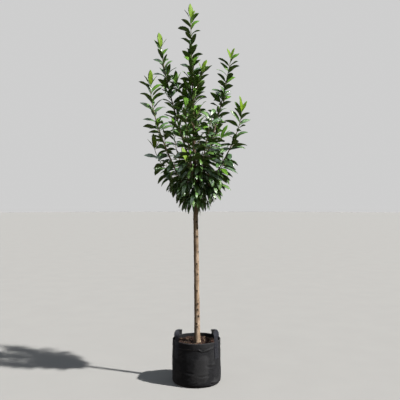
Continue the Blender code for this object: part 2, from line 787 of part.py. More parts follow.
def build_crown(cutter, parts):
    bark = twig_bark()
    materials = (bark, laurel_leaf(), new_leaf())
    shoots = [*LONG_SHOOTS, *SHORT_SHOOTS]
    shoots += [spur(index) for index in range(SPUR_COUNT)]
    shoots += [skirt(index, *place) for index, place in enumerate(SKIRT_PLACES)]
    shoots += [filler(index, *place) for index, place in enumerate(FILLER_PLACES)]
    limbs = {shoot.name: limb_of(shoot) for shoot in shoots}
    limbs["leader"] = leader_limb()
    starts = {shoot.name: limbs[shoot.name].length * shoot.bough for shoot in shoots}
    leafy = {name: start or limbs[name].leaves_trunk() for name, start in starts.items()}
    starts["leader"] = leafy["leader"] = 0.0

    space = Space()
    heights = np.arange(TRUNK_FOOT, TRUNK_TIP, STEM_SAMPLE)
    space.add_limb(trunk_axis(heights), trunk_radius(heights))
    for name, limb in limbs.items():
        space.add_stem(name, limb.at(np.arange(leafy[name], limb.length, STEM_SAMPLE)))
        if starts[name]:
            bare = np.arange(0.0, starts[name], STEM_SAMPLE)
            space.add_limb(limb.at(bare), limb.radius(bare))

    for shoot in LONG_SHOOTS:
        build_bough(shoot, limbs[shoot.name], cutter, bark, parts)
    for name, limb in limbs.items():
        on_trunk = starts[name] == 0.0 and name != "leader"
        start = starts[name] + (0.0 if on_trunk else GAP)
        mass = Mass(name, limb, start, leafy[name] + FIRST_LEAF, space, materials)
        mass.build(cutter if on_trunk else None, parts)


def build_plant():
    clear_scene()
    parts = new_collection(PLANT)
    cutters = new_collection("cutters")
    build_bag(parts)
    build_soil(parts)
    webbing = strap_webbing()
    build_handle("handle_right", 1, webbing, parts)
    build_handle("handle_left", -1, webbing, parts)
    bark = stem_bark()
    trunk_tube("trunk", 0.0, 3, bark, parts)
    cutter = meshed(trunk_tube("trunk_clearance", GAP, 3, bark, cutters), cutters)
    cutter.hide_render = True
    cutter.display_type = "WIRE"
    build_crown(cutter, parts)


build_plant()
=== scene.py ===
# A standard laurel in a soft fabric bag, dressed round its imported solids: the bag with its hem,
# creases and webbing handles, bark chips, the speckled stem, and an open crown of glossy leaves.
# Metres, +Z up, the front towards -Y, the origin in the middle of the bag's flat underside.
import math
import random

import bpy
import numpy as np
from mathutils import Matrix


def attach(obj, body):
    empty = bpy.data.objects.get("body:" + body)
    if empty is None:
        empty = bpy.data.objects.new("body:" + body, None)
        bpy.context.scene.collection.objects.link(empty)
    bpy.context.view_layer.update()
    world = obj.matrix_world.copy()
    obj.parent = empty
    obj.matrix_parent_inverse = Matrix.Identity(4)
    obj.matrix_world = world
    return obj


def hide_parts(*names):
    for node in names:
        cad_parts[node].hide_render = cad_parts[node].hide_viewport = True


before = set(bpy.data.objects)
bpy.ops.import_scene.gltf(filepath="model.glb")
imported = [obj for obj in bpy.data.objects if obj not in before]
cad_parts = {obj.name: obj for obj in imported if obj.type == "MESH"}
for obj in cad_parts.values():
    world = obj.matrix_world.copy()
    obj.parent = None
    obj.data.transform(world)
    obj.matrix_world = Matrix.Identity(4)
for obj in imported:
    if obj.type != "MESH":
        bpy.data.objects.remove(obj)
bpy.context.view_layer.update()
print("frame loaded:", len(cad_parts), "solids")


# Shared tools for surfaces

noiseFactors = (73856093, 19349663, 83492791)
noiseSeedFactor = 40503
noiseMixers = ((13, 1274126177), (15, 668265263))  # shift and factor
noiseMask = 0x7FFFFFFF


def smoothNoise(points, cell, seed):
    # Random numbers on the corners of cubes with this edge, blended by 3t^2 - 2t^3; from -1 to 1
    places = points / cell
    low = np.floor(places).astype(np.int64)
    t = places - low
    t = t * t * (3 - 2 * t)
    total = np.zeros(places.shape[:-1])
    for corner in np.ndindex(2, 2, 2):
        mixed = np.bitwise_xor.reduce((low + np.array(corner)) * noiseFactors, axis=-1)
        mixed = mixed ^ seed * noiseSeedFactor
        for shift, factor in noiseMixers:
            mixed = (mixed ^ mixed >> shift) * factor & noiseMask
        weight = np.prod(np.where(np.array(corner) > 0, t, 1 - t), axis=-1)
        total += weight * (mixed / (noiseMask // 2) - 1)
    return total


def layeredNoise(points, cell, seed, layers=3):
    # Each layer has half the cell and half the height of the one before
    return sum(smoothNoise(points, cell / 2**k, seed + k) / 2**k for k in range(layers))


def polar(radius, angle, height):
    # Points at radius * (cos, sin) of the angle round +Z, and at the height
    return np.stack(np.broadcast_arrays(radius * np.cos(angle), radius * np.sin(angle), height), axis=-1)


def angleGap(angle, centre):
    # From the centre to the angle the short way round
    return (angle - centre + math.pi) % math.tau - math.pi


def bell(distance, width):
    # e^-(distance / width)^2
    return np.exp(-((distance / width) ** 2))


def ramped(value, start, length):
    # 0 up to the start, then rising evenly to 1 over the length
    return np.clip((value - start) / length, 0, 1)


def either(chance, most):
    # A random number from minus to plus the most
    return chance.uniform(-most, most)


def unit(vectors):
    # Each vector divided by its own length
    return vectors / np.linalg.norm(vectors, axis=-1, keepdims=True)


def alongRun(points):
    # The distance walked from the first point to each
    return np.concatenate([[0], np.cumsum(np.linalg.norm(np.diff(points, axis=0), axis=1))])


def roundAngles(count):
    # Even angles once round
    return np.arange(count) * math.tau / count


def gridFaces(rows, columns):
    # Quads between neighbouring rows, the last column joined to the first
    row = np.arange(rows - 1)[:, None] * columns
    low, after = row + np.arange(columns), row + np.roll(np.arange(columns), -1)
    return np.stack([low, after, after + columns, low + columns], axis=-1).reshape(-1, 4)


def fanFaces(ring, middle, flip=False):
    # Triangles from a ring of point numbers to one middle point
    order = [np.roll(ring, -1), ring] if flip else [ring, np.roll(ring, -1)]
    return np.stack([*order, np.full(len(ring), middle)], axis=-1)


def closedFaces(rows, sides, inward=False):
    # Quads between the rings of a tube, and fans from its end rings to the two points after them
    ring = np.arange(sides)
    quads = gridFaces(rows, sides)[:, ::-1 if inward else 1]
    fans = [fanFaces(ring, rows * sides, not inward),
            fanFaces(ring + (rows - 1) * sides, rows * sides + 1, inward)]
    return [quads, np.concatenate(fans)]


def withEnds(grid, first, last):
    # The points or numbers of a grid, one after another, and those of its two end points
    return np.concatenate([grid.reshape(-1, *grid.shape[2:]), [first, last]])


def repeatFaces(faces, count, each):
    # The same faces for each of many like parts, whose points follow one another
    return (faces[None] + (np.arange(count) * each)[:, None, None]).reshape(-1, faces.shape[1])


def addObject(name, data, place=(0, 0, 0), turn=(0, 0, 0)):
    # An object in the scene, at a place and turned by three angles
    obj = bpy.data.objects.new(name, data)
    obj.location = place
    obj.rotation_euler = turn
    bpy.context.scene.collection.objects.link(obj)
    return obj


def newPiece(name, points, faceSets, materials, slots=None, uv=None, marks=None, sharp=None):
    # One mesh object from whole arrays: points, sets of faces with their slot numbers, u and v
    # for each point, and any named numbers for each point that a material reads
    counts = np.concatenate([np.full(len(faces), faces.shape[1]) for faces in faceSets])
    corners = np.concatenate([faces.ravel() for faces in faceSets]).astype(np.int32)
    mesh = bpy.data.meshes.new(name)
    mesh.vertices.add(len(points))
    mesh.vertices.foreach_set("co", np.asarray(points, np.float32).ravel())
    mesh.loops.add(len(corners))
    mesh.loops.foreach_set("vertex_index", corners)
    mesh.polygons.add(len(counts))
    mesh.polygons.foreach_set("loop_start", (np.cumsum(counts) - counts).astype(np.int32))
    for material in materials:
        mesh.materials.append(material)
    if slots is not None:
        mesh.polygons.foreach_set("material_index", slots.astype(np.int32))
    mesh.update(calc_edges=True)
    if uv is not None:
        layer = mesh.uv_layers.new(name="surface")
        layer.data.foreach_set("uv", uv.astype(np.float32)[corners].ravel())
    for mark, values in (marks or {}).items():
        layer = mesh.attributes.new(mark, "FLOAT", "POINT")
        layer.data.foreach_set("value", withEnds(values, 0, 0).astype(np.float32))
    mesh.validate()
    mesh.shade_smooth()
    if sharp is not None:
        mesh.set_sharp_from_angle(angle=math.radians(sharp))
    return addObject(name, mesh)


def dress(obj, slot, *nodes):
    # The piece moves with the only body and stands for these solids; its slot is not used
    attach(obj, "root")
    if nodes:
        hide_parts(*nodes)
    count = sum(len(face.vertices) - 2 for face in obj.data.polygons)
    print(f"{obj.name}: {count} triangles")


def joinParts(parts):
    # Parts are (points, quads, triangles, slot, uv), joined as one
    shift = np.cumsum([0] + [len(part[0]) for part in parts])
    points, uv = (np.concatenate([part[k] for part in parts]) for k in (0, 4))
    faces = [np.concatenate([part[k] + start for part, start in zip(parts, shift)]) for k in (1, 2)]
    slots = np.concatenate([np.full(len(part[k]), part[3]) for k in (1, 2) for part in parts])
    return points, faces, slots, uv


def tubePart(points, radii, sides, slot, roughness, seed):
    # A circle of the given radius carried along the points, roughened a little, with both ends
    # closed by a fan. u runs round it and v along it in metres
    along = unit(np.gradient(points, axis=0))
    side = unit(np.cross(along, np.eye(3)[np.argmin(np.abs(along).max(axis=0))]))
    angle = roundAngles(sides)[:, None]
    rim = np.cos(angle) * side[:, None] + np.sin(angle) * np.cross(along, side)[:, None]
    ring = points[:, None] + rim * radii[:, None, None]
    ring = ring + rim * (roughness * smoothNoise(ring * [1, 1, 0.4], 0.005, seed))[..., None]
    ends = (points[0] - along[0] * radii[0] * 0.3, points[-1] + along[-1] * radii[-1] * 0.6)
    run = alongRun(points)
    uv = np.stack(np.broadcast_arrays(angle.T / math.tau, run[:, None]), axis=-1)
    faces = closedFaces(len(points), sides)
    return (withEnds(ring, *ends), *faces, slot, withEnds(uv, (0.5, run[0]), (0.5, run[-1])))


# Shared tools for materials

def shaded(colour, share):
    # A lighter or darker tone of a colour
    return tuple(min(1.0, share * c) for c in colour)


class Graph:
    # Short calls for the nodes of a material or of the world
    def __init__(self, tree):
        self.nodes, self.links = tree.nodes, tree.links

    def node(self, kind, inputs=None, **settings):
        # Each input is a socket to link or a value, and a colour is given as three numbers
        made = self.nodes.new("ShaderNode" + kind)
        for key, value in settings.items():
            setattr(made, key, value)
        for key, value in (inputs or {}).items():
            socket = made.inputs[key]
            if isinstance(value, bpy.types.NodeSocket):
                self.links.new(value, socket)
            else:
                socket.default_value = (*value, 1) if socket.type == "RGBA" else value
        return made

    def ramp(self, value, *stops):
        # Stops are (position, colour); the colours are blended in between
        made = self.node("ValToRGB", {"Fac": value})
        elements = made.color_ramp.elements
        while len(elements) < len(stops):
            elements.new(0.5)
        for element, (position, colour) in zip(elements, stops):
            element.position = position
            element.color = (*colour, 1)
        return made.outputs["Color"]

    def remap(self, value, low, high, to=(0.0, 1.0)):
        inputs = {"Value": value, "From Min": low, "From Max": high, "To Min": to[0], "To Max": to[1]}
        return self.node("MapRange", inputs).outputs["Result"]

    def math(self, operation, first, second=0.0):
        return self.node("Math", {0: first, 1: second}, operation=operation).outputs[0]


class Finish(Graph):
    # A Principled material
    def __init__(self, name, colour, roughness, specular, extras=None):
        self.material = bpy.data.materials.new(name)
        self.material.use_nodes = True
        self.material.diffuse_color = (*colour, 1)
        super().__init__(self.material.node_tree)
        self.shader = self.nodes["Principled BSDF"]
        values = {"Base Color": (*colour, 1), "Roughness": roughness, "Specular IOR Level": specular}
        for key, value in {**values, **(extras or {})}.items():
            self.shader.inputs[key].default_value = value

    def place(self, stretch=(1, 1, 1), uv=False):
        coords = self.node("TexCoord").outputs["UV" if uv else "Object"]
        return self.node("Mapping", {"Vector": coords, "Scale": stretch}).outputs["Vector"]

    def noise(self, scale, detail, stretch=(1, 1, 1), uv=False, distortion=0.0):
        values = {"Vector": self.place(stretch, uv), "Scale": scale, "Detail": detail}
        return self.node("TexNoise", {**values, "Distortion": distortion}).outputs["Fac"]

    def bands(self, scale, direction, distortion):
        values = {"Vector": self.place(uv=True), "Scale": scale, "Distortion": distortion}
        return self.node("TexWave", values, bands_direction=direction).outputs["Fac"]

    def mark(self, name):
        return self.node("Attribute", attribute_name=name).outputs["Fac"]

    def cover(self, base, *layers):
        # Layers are (share, colour), each laid over what is below it
        for share, colour in layers:
            base = self.node("Mix", {0: share, 6: base, 7: colour}, data_type="RGBA").outputs[2]
        return base

    def done(self, colour, roughness, *heights):
        # Heights are (socket, distance in metres), each laid over the one before
        self.links.new(colour, self.shader.inputs["Base Color"])
        if roughness is not None:
            self.links.new(roughness, self.shader.inputs["Roughness"])
        normal = {}
        for socket, distance in heights:
            made = self.node("Bump", {"Height": socket, "Distance": distance, "Strength": 1.0, **normal})
            normal = {"Normal": made.outputs["Normal"]}
        self.links.new(normal["Normal"], self.shader.inputs["Normal"])
        return self.material


def grainFinish(name, colours, roughness, specular, grain, stops=(0.3, 0.7), bump=0.0004):
    # One grain between a dark and a light tone
    finish = Finish(name, colours[-1], roughness, specular)
    pattern = finish.noise(*grain)
    return finish.done(finish.ramp(pattern, *zip(stops, colours[:2])), None, (pattern, bump))


# Stage: floor, light and the camera at the photographed angle

stageValues = dict(
    floorRadius=60.0,
    floorSides=64,
    floorColour=(0.300, 0.299, 0.296),
    skyColour=(0.83, 0.91, 1.00),
    groundColour=(1.45, 1.20, 0.92),  # the glow from below and from near the horizon
    skyStrength=(0.04, 0.34),  # at the horizon, and overhead and as the ground's glow from below
    sheenStrength=(0.10, 2.80),  # the sky as glossy leaves mirror it, low behind and high in front
    sheenAim=(0.0, -0.5, 0.75),
    sheenRange=(0.35, 0.85),
    backdrop=(0.62, 0.62, 0.62),  # what the camera sees behind the floor
    keyColour=(1, 0.97, 0.92),
    keyHeading=-22.0,
    keyRise=50.0,
    keyPower=7.2,
    keySoftness=2.0,
    fillColour=(0.90, 0.95, 1),
    fillPlace=(0.2, -2.4, 4.4),
    fillSize=2.6,
    fillPower=5.0,
    aim=(0.0, 0.0, 1.45),
    cameraPlace=(0.0255, -4.146, 1.338),
    cameraLens=50.4,
    cameraSensor=36.0,
)


def addLight(name, kind, colour, power, place, turn, **settings):
    # A light with any settings of its own kind
    light = bpy.data.lights.new(name, kind)
    light.color = colour
    light.energy = power
    for key, value in settings.items():
        setattr(light, key, value)
    addObject(name, light, place, turn)


def makeFloor(values):
    # A flat disc, points at radius * (cos a, sin a) round its middle
    colour, sides = values["floorColour"], values["floorSides"]
    finish = Finish("paleFloor", colour, 0.9, 0.2)
    tone = finish.ramp(finish.noise(3.0, 2), (0.3, shaded(colour, 0.97)), (0.7, colour))
    finish.links.new(tone, finish.shader.inputs["Base Color"])
    points = np.concatenate([polar(values["floorRadius"], roundAngles(sides), 0), [[0, 0, 0]]])
    floor = newPiece("paleFloor", points, [fanFaces(np.arange(sides), sides)], [finish.material])
    floor.visible_diffuse = False


def makeWorld(values):
    # Three glows, one for each kind of ray: soft light, what leaves mirror, and the backdrop. Each
    # grows stronger with the height, or with how far a ray turns towards the sheen's aim
    world = bpy.data.worlds.new("softSky")
    world.use_nodes = True
    graph = Graph(world.node_tree)
    graph.nodes.remove(graph.nodes["Background"])
    way = graph.node("TexCoord").outputs["Generated"]
    up = graph.node("SeparateXYZ", {0: way}).outputs["Z"]
    steep = graph.math("ABSOLUTE", up)
    ahead = graph.node("VectorMath", {0: way, 1: values["sheenAim"]}, operation="DOT_PRODUCT")
    tint = graph.ramp(up, (0.0, values["groundColour"]), (0.5, values["skyColour"]))
    rays = graph.node("LightPath").outputs
    shown = None
    for ray, colour, climb, reach, strength in (
            (None, tint, steep, (0, 1), values["skyStrength"]),
            ("Is Glossy Ray", tint, ahead.outputs["Value"], values["sheenRange"], values["sheenStrength"]),
            ("Is Camera Ray", values["backdrop"], steep, (0, 1), (1, 1))):
        power = graph.remap(climb, *reach, strength)
        glow = graph.node("Background", {"Color": colour, "Strength": power}).outputs[0]
        if ray:
            glow = graph.node("MixShader", {0: rays[ray], 1: shown, 2: glow}).outputs[0]
        shown = glow
    graph.links.new(shown, graph.nodes["World Output"].inputs["Surface"])
    bpy.context.scene.world = world
    bpy.context.scene.view_settings.view_transform = "Standard"


def makeLights(values):
    # A sun as the key light and a soft disc that faces the aim
    turn = (0, math.radians(90 - values["keyRise"]), math.radians(values["keyHeading"]))
    addLight("keyLight", "SUN", values["keyColour"], values["keyPower"], (0, 0, 0), turn,
             angle=math.radians(values["keySoftness"]))
    x, y, z = np.array(values["fillPlace"]) - values["aim"]
    addLight("fillLight", "AREA", values["fillColour"], values["fillPower"], values["fillPlace"],
             (math.atan2(math.hypot(x, y), z), 0, math.atan2(x, -y)), shape="DISK", size=values["fillSize"])
    camera = bpy.data.cameras.new("photoView")
    camera.lens = values["cameraLens"]
    camera.sensor_width = values["cameraSensor"]
    turn = (math.pi / 2, 0, 0)
    bpy.context.scene.camera = addObject("photoView", camera, values["cameraPlace"], turn)


makeFloor(stageValues)
makeWorld(stageValues)
makeLights(stageValues)
print("stage made")


# The bag

front = -math.pi / 2
bagValues = dict(
    height=0.316,
    rimRadius=0.1725,
    footRadius=0.1775,
    meanRadius=0.175,
    edgeRadius=0.020,
    wall=0.0024,
    hemHeight=0.046,
    hemStands=0.0022,  # how far the doubled hem stands out
    lip=0.0022,
    insideDepth=0.060,
    columns=300,
    floorRows=9,
    edgeRows=9,
    wallRows=100,
    hemRows=18,
    lipRows=7,
    insideRows=16,
    hemStep=(0.0005, 0.0012),  # below and above the hem's foot, where it steps out
    bulge=0.0024,
    bulgeCell=0.11,
    bulgeFlatter=1.4,  # how much wider than high the bulges are
    footHold=0.05,  # the height over which they grow in above the foot
    rimHold=(0.04, 0.06),  # how far above the rim they would end, and over which height
    creping=0.00035,
    crepingCell=0.018,
    belly=0.0038,  # how far the whole wall swells between its foot and the hem
    fold=0.0050,  # a soft upright fold at the front, steeper to the right
    foldAngle=-1.26,
    foldWidth=(0.34, 0.14),
    rimWave=0.0016,
    rimWaveFrom=0.20,
    seam=0.0014,
    seamLevel=0.006,  # above the hem's foot
    seamWidth=0.0014,
    pucker=0.0006,  # the gathers between the stitches of the hem
    puckerLevel=0.004,
    puckerReach=0.006,
    stitchPitch=0.0056,
    stitchLength=0.0040,
    stitchRadius=0.00042,
    stitchLevels=(0.0058, 0.0395),
    # painted light: how much lighter the hem is on its sunlit side
    fade=0.34,
    sunnyAngle=0.50,  # where the hem's painted light is centred, to the right of the front
    sunnyWidth=0.42,
    creases=(  # angle from the front and height at both ends, depth and width
        (0.07, 0.279, 0.23, 0.260, -0.0040, 0.0046),
        (0.21, 0.259, 0.70, 0.284, -0.0044, 0.0048),
        (0.40, 0.254, 0.78, 0.290, -0.0032, 0.0042),
        (0.765, 0.196, 0.775, 0.285, 0.0022, 0.0026),
        (0.58, 0.026, 0.98, 0.020, 0.0042, 0.0060),
        (-0.55, 0.118, -0.05, 0.104, 0.0016, 0.0070),
        (0.05, 0.082, 0.60, 0.096, 0.0018, 0.0070),
        (0.35, 0.160, 0.85, 0.146, 0.0018, 0.0070),
        (-0.95, 0.210, -0.62, 0.242, 0.0018, 0.0060),
    ),
    creaseBow=0.05,  # of its length
    creaseEnds=0.6,  # the power that fades it at its ends
    creaseRidges=(2.1, 1.3, 0.45),  # their distance and width in crease widths, and their height
    looseCreases=46,
    looseHeights=((0.02, 0.10), (0.10, 0.26)),
    looseSpans=(0.12, 0.42),
    looseSlope=0.016,
    looseTilts=(0, 0, -0.02, 0.02),
    looseDepths=(0.0004, 0.0012),
    looseWidths=(0.004, 0.009),
    seed=11,
)


def bagProfileRadius(height):
    # From the foot's radius to the rim's, evenly with height
    share = height / bagValues["height"]
    return bagValues["footRadius"] + (bagValues["rimRadius"] - bagValues["footRadius"]) * share


def creaseLines():
    # The named folds, then loose ones that mostly run level round the bag
    values = bagValues
    lines = [(front + start, low, front + end, high, depth, width)
             for start, low, end, high, depth, width in values["creases"]]
    chance = random.Random(values["seed"])
    for _ in range(values["looseCreases"]):
        angle = chance.uniform(0, math.tau)
        height = chance.choice([chance.uniform(*band) for band in values["looseHeights"]])
        span = chance.uniform(*values["looseSpans"])
        slope = either(chance, values["looseSlope"]) + chance.choice(values["looseTilts"])
        depth = chance.uniform(*values["looseDepths"])
        width = chance.uniform(*values["looseWidths"])
        lines.append((angle, height, angle + span, height + slope, depth, width))
    return lines


def bagBelly(height):
    # The belly's height from the plain cone, growing in from the foot and out below the hem
    return bagValues["belly"] * np.interp(height, (0.0, 0.03, 0.10, 0.20, 0.30), (0, 0.7, 1, 1, 0.3))


def bagRelief(angle, height):
    # Distance out from the plain cone: broad bulges where the soil presses, less each crease,
    # a valley of depth * exp(-(d / width)^2) between two low ridges, fading at its ends
    values = bagValues
    radius = values["meanRadius"]
    around = polar(radius, angle, height * values["bulgeFlatter"])
    above, fade = values["rimHold"]
    free = ramped(height, 0, values["footHold"])
    free = free * np.clip((values["height"] + above - height) / fade, 0, 1)
    relief = values["bulge"] * free * layeredNoise(around, values["bulgeCell"], seed=5, layers=2)
    creping = layeredNoise(around, values["crepingCell"], seed=9, layers=2)
    relief = relief + values["creping"] * creping + bagBelly(height)
    off = angleGap(angle, values["foldAngle"])
    fold = bell(off, np.where(off < 0, *values["foldWidth"]))
    relief = relief + values["fold"] * fold * np.interp(height, (0.02, 0.08, 0.20, 0.262), (0, 1, 1, 0))
    apart, broad, raised = values["creaseRidges"]
    for start, low, end, high, depth, width in creaseLines():
        run, rise = (end - start) * radius, high - low
        length = math.hypot(run, rise)
        off = angleGap(angle, start) * radius
        up = height - low
        share = (off * run + up * rise) / length**2
        inside = np.sin(math.pi * np.clip(share, 0, 1))
        across = (off * rise - up * run) / length - values["creaseBow"] * length * inside
        past = np.maximum(np.abs(share - 0.5) - 0.5, 0) * length
        ridge = bell(np.abs(across) - apart * width, broad * width)
        pressed = raised * ridge - bell(across, width)
        relief = relief + depth * inside ** values["creaseEnds"] * bell(past, width) * pressed
    return relief


def rimLift(angle, height):
    # The soft rim rises and dips a little round the bag, and the wall below it less and less
    wave = 0.6 * np.sin(2 * angle + 0.7) + 0.4 * np.sin(5 * angle + 2.1)
    low = bagValues["rimWaveFrom"]
    return bagValues["rimWave"] * wave * ramped(height, low, bagValues["height"] - low)


def bagOutside(angle, height):
    # Radius of the outer face at an angle and a height, hem left out
    return bagProfileRadius(height) + bagRelief(angle, height)


def clothFinish():
    # Near-black felt: mottled, dusty, with worn edges, painted light on the hem's sunny side and painted
    # highlights on crease ridges, over fine fibres and a diagonal weave
    sheen = {"Sheen Weight": 0.05, "Sheen Roughness": 0.45, "Sheen Tint": (0.75, 0.75, 0.80, 1)}
    finish = Finish("bagCloth", (0.012, 0.013, 0.016), 0.90, 0.06, sheen)
    fibres = finish.noise(900, 3, (1, 1, 0.35), uv=True)
    mottle = finish.noise(26, 5)
    dust = finish.remap(finish.noise(9, 6, (1, 1, 1.6)), 0.52, 0.78)
    base = finish.ramp(mottle, (0.25, (0.0130, 0.0134, 0.0152)), (0.75, (0.0218, 0.0225, 0.0252)))
    # wear at the rim and hem foot, with painted light on the hem and painted highlights on raised creases
    worn = finish.remap(finish.mark("worn"), 0.0, 1.0, (0.0, 0.60))
    base = finish.cover(base, (finish.math("MULTIPLY", dust, 0.16), (0.042, 0.042, 0.044)),
                        (worn, (0.066, 0.067, 0.071)))
    weave = finish.bands(260.0, "DIAGONAL", 1.5)
    return finish.done(base, finish.remap(mottle, 0.2, 0.8, (0.82, 0.98)),
                       (fibres, 0.00018), (weave, 0.00012), (mottle, 0.0005))


def makeBag(values):
    # The bag is a profile (radius, height) turned round +Z, with the relief added to its radius:
    # underside, rounded edge, wall, doubled hem, rim, inside, and a floor under the soil
    rimTop, edge, lip = values["height"], values["edgeRadius"], values["lip"]
    hemFoot, floor = rimTop - values["hemHeight"], rimTop - values["insideDepth"]
    turn = np.linspace(-math.pi / 2, 0, values["edgeRows"])
    over = np.linspace(0, math.pi, values["lipRows"])[1:-1]
    edgeCentre = bagProfileRadius(edge) - edge
    floorRadius = np.linspace(0.02, edgeCentre, values["floorRows"])[:-1]
    below, above = values["hemStep"]
    wallHeights = np.linspace(edge, hemFoot - below, values["wallRows"])[1:]
    hemHeights = np.linspace(hemFoot + above, rimTop - lip, values["hemRows"])
    hemHeights = np.concatenate([[hemFoot], hemHeights])
    hemOut = values["hemStands"] * np.where(hemHeights > hemFoot, 1, 0.6)
    lipRadius = (values["wall"] + values["hemStands"]) / 2
    inHeights = np.linspace(rimTop - lip, floor, values["insideRows"])
    height = np.concatenate([0 * floorRadius, edge + edge * np.sin(turn), wallHeights, hemHeights,
                             rimTop - lip + lip * np.sin(over), inHeights])
    plain = np.concatenate([
        floorRadius, edgeCentre + edge * np.cos(turn), bagProfileRadius(wallHeights),
        bagProfileRadius(hemHeights) + hemOut,
        bagProfileRadius(rimTop) + values["hemStands"] - lipRadius * (1 - np.cos(over)),
        bagProfileRadius(inHeights) - values["wall"],
    ])

    heights, angles = np.meshgrid(height, roundAngles(values["columns"]), indexing="ij")
    relief = bagRelief(angles, heights)
    outside = (np.arange(len(height)) < len(height) - len(inHeights))[:, None]
    inHem = (heights > hemFoot) & (heights < rimTop)
    stitches = angles * values["meanRadius"] / values["stitchPitch"] * math.tau / 3
    gathers = np.sin(stitches + 3 * np.sin(7 * angles))
    gathers = gathers * bell(heights - hemFoot - values["puckerLevel"], values["puckerReach"])
    relief = relief + values["pucker"] * gathers * np.where(inHem, 1, 0.4)
    seam = bell(heights - hemFoot - values["seamLevel"], values["seamWidth"])
    relief = relief - values["seam"] * seam * outside
    share = np.clip(heights / edge, 0, 1) * ramped(plain[:, None], 0.10, 0.05)
    radius = plain[:, None] + relief * np.where(heights < edge, share, 1.0)
    points = polar(radius, angles, np.maximum(heights + rimLift(angles, heights), 0.0))

    run = alongRun(np.stack([height, plain], axis=1))
    uv = np.stack(np.broadcast_arrays(angles * values["meanRadius"], run[:, None]), axis=-1)
    worn = bell(heights - rimTop, 0.003) + bell(heights - hemFoot, 0.0016)
    # Painted light: the hem is lighter on its sunlit side
    sunny = bell(angleGap(angles, front + values["sunnyAngle"]), values["sunnyWidth"])
    worn += values["fade"] * sunny * ramped(heights, hemFoot, 0.006)
    # Painted highlight: raised crease ridges are lightened
    worn += np.clip((relief - bagBelly(heights)) * 500 - 0.4, 0, 0.5)
    return newPiece("fabricBag", withEnds(points, (0, 0, 0), (0, 0, floor)), closedFaces(*heights.shape),
                    [clothFinish()], uv=withEnds(uv, (0, 0), (0, run[-1])),
                    marks={"worn": np.clip(worn, 0, 1)})


stickRings = ((0.0, 0.5, -0.6), (0.2, 1.0, 0.3), (0.8, 1.0, 0.3), (1.0, 0.5, -0.6))  # share, size, lift
stickSides = ((1, 0), (0, 1), (-1, 0), (0, -1))


def threadPart(starts, ends, radius):
    # Each stitch is a short four-sided stick from its start to its end, with a raised middle
    along = ends - starts
    outward = unit(starts * [1, 1, 0])
    side = unit(np.cross(along, outward))
    rings = []
    for share, size, lift in stickRings:
        middle = starts + along * share + outward * radius * lift
        for s, o in stickSides:
            rings.append(middle + (side * s + outward * o) * radius * size)
    quads = np.concatenate([gridFaces(4, 4), [[3, 2, 1, 0], [12, 13, 14, 15]]])
    return np.stack(rings, axis=1).reshape(-1, 3), [repeatFaces(quads, len(starts), len(rings))]


def makeHemStitches(values):
    # Two rows of stitches round the hem, each stitch lying along the bag
    hemFoot, radius = values["height"] - values["hemHeight"], values["meanRadius"]
    angle = roundAngles(round(math.tau * radius / values["stitchPitch"]))
    ends = []
    for turned in (angle, angle + values["stitchLength"] / radius):
        turned, height = np.meshgrid(turned, hemFoot + np.array(values["stitchLevels"]))
        out = bagOutside(turned, height) + values["hemStands"] + 0.0001
        ends.append(polar(out, turned, height + rimLift(turned, height)).reshape(-1, 3))
    return newPiece("hemStitches", *threadPart(*ends, values["stitchRadius"]), [stitchFinish])


threadTones = (0.030, 0.030, 0.033), (0.075, 0.074, 0.076), (0.045, 0.045, 0.048)
stitchFinish = grainFinish("stitchThread", threadTones, 0.6, 0.4, (1400, 2), bump=0.0002)
dress(makeBag(bagValues), "pot_fabric", "pot")
dress(makeHemStitches(bagValues), "pot_fabric")
print("bag made")


# The webbing handles

strapValues = dict(
    width=0.048,
    thickness=0.0024,
    clear=0.0004,
    sewnDown=0.122,  # from the rim to the foot of each leg
    rise=0.0600,
    frontLeg=36.0,
    backLeg=43.0,
    stands=0.016,
    tilt=1.0,  # how far the top of the loop is tilted down on its outer side
    cupped=0.0060,  # how far its outer edge turns down over the top, where the strap is narrower
    folded=0.0200,  # and how far its inner edge does, behind the middle
    sunk=0.28,  # how much lower the back of the loop is than its front
    narrowed=0.13,  # and by what share of its width
    squareness=0.75,  # 1 is a half ellipse, and less has squarer shoulders
    turnSteps=25,
    routeRadius=0.17,
    easing=9,  # steps of the route that are blended
    footHeld=0.03,  # of each leg, left as it is
    sewnEnd=(0.004, 0.012),  # above the rim, and over which height it comes loose
    slack=0.0012,
    slackWaves=60,
    rows=150,
    ribs=15,
    ribHeight=0.00012,
    stitchPitch=0.0046,
    stitchRadius=0.00045,
    stitchFilled=0.7,  # of the pitch
    stitchEdge=0.84,  # the outer stitches, as a share of the half width
    stitchBox=(0.006, 0.050),
    stitchLevel=0.112,
)


def strapRoute(values):
    # Angle from the side, height and twist in even steps from the foot of the front leg to the
    # foot of the back leg, over a half ellipse whose cos and sin are raised to the squareness. The
    # twist, from 0 to 2, takes the strap's width from along the rim to across it
    rim = bagValues["height"]
    foot, spring = rim - values["sewnDown"], rim + values["stands"]
    first, last = values["frontLeg"], values["backLeg"]
    turn = np.linspace(0, math.pi, values["turnSteps"])
    along = np.sign(np.cos(turn)) * np.abs(np.cos(turn)) ** values["squareness"]
    up = np.abs(np.sin(turn)) ** values["squareness"] * (1 + values["sunk"] * (along - 0.4) / 2)
    angle = np.radians([-first, *((last - first) / 2 - (last + first) / 2 * along), last])
    height = np.array([foot, *(spring + (values["rise"] - values["stands"]) * up), foot])
    twist = np.array([0, *(1 - along), 2])
    run = alongRun(polar(values["routeRadius"], angle, height))
    even = np.linspace(0, run[-1], values["rows"])
    angle, height, twist = (np.interp(even, run, value) for value in (angle, height, twist))
    soft = np.hanning(values["easing"])
    soft = soft / soft.sum()
    eased = [np.convolve(np.pad(value, len(soft) // 2, "edge"), soft, mode="valid")
             for value in (angle, height, twist)]
    held = values["footHeld"]
    height = np.where((even > held) & (even < run[-1] - held), eased[1], height)
    return even, eased[0], height, eased[2]


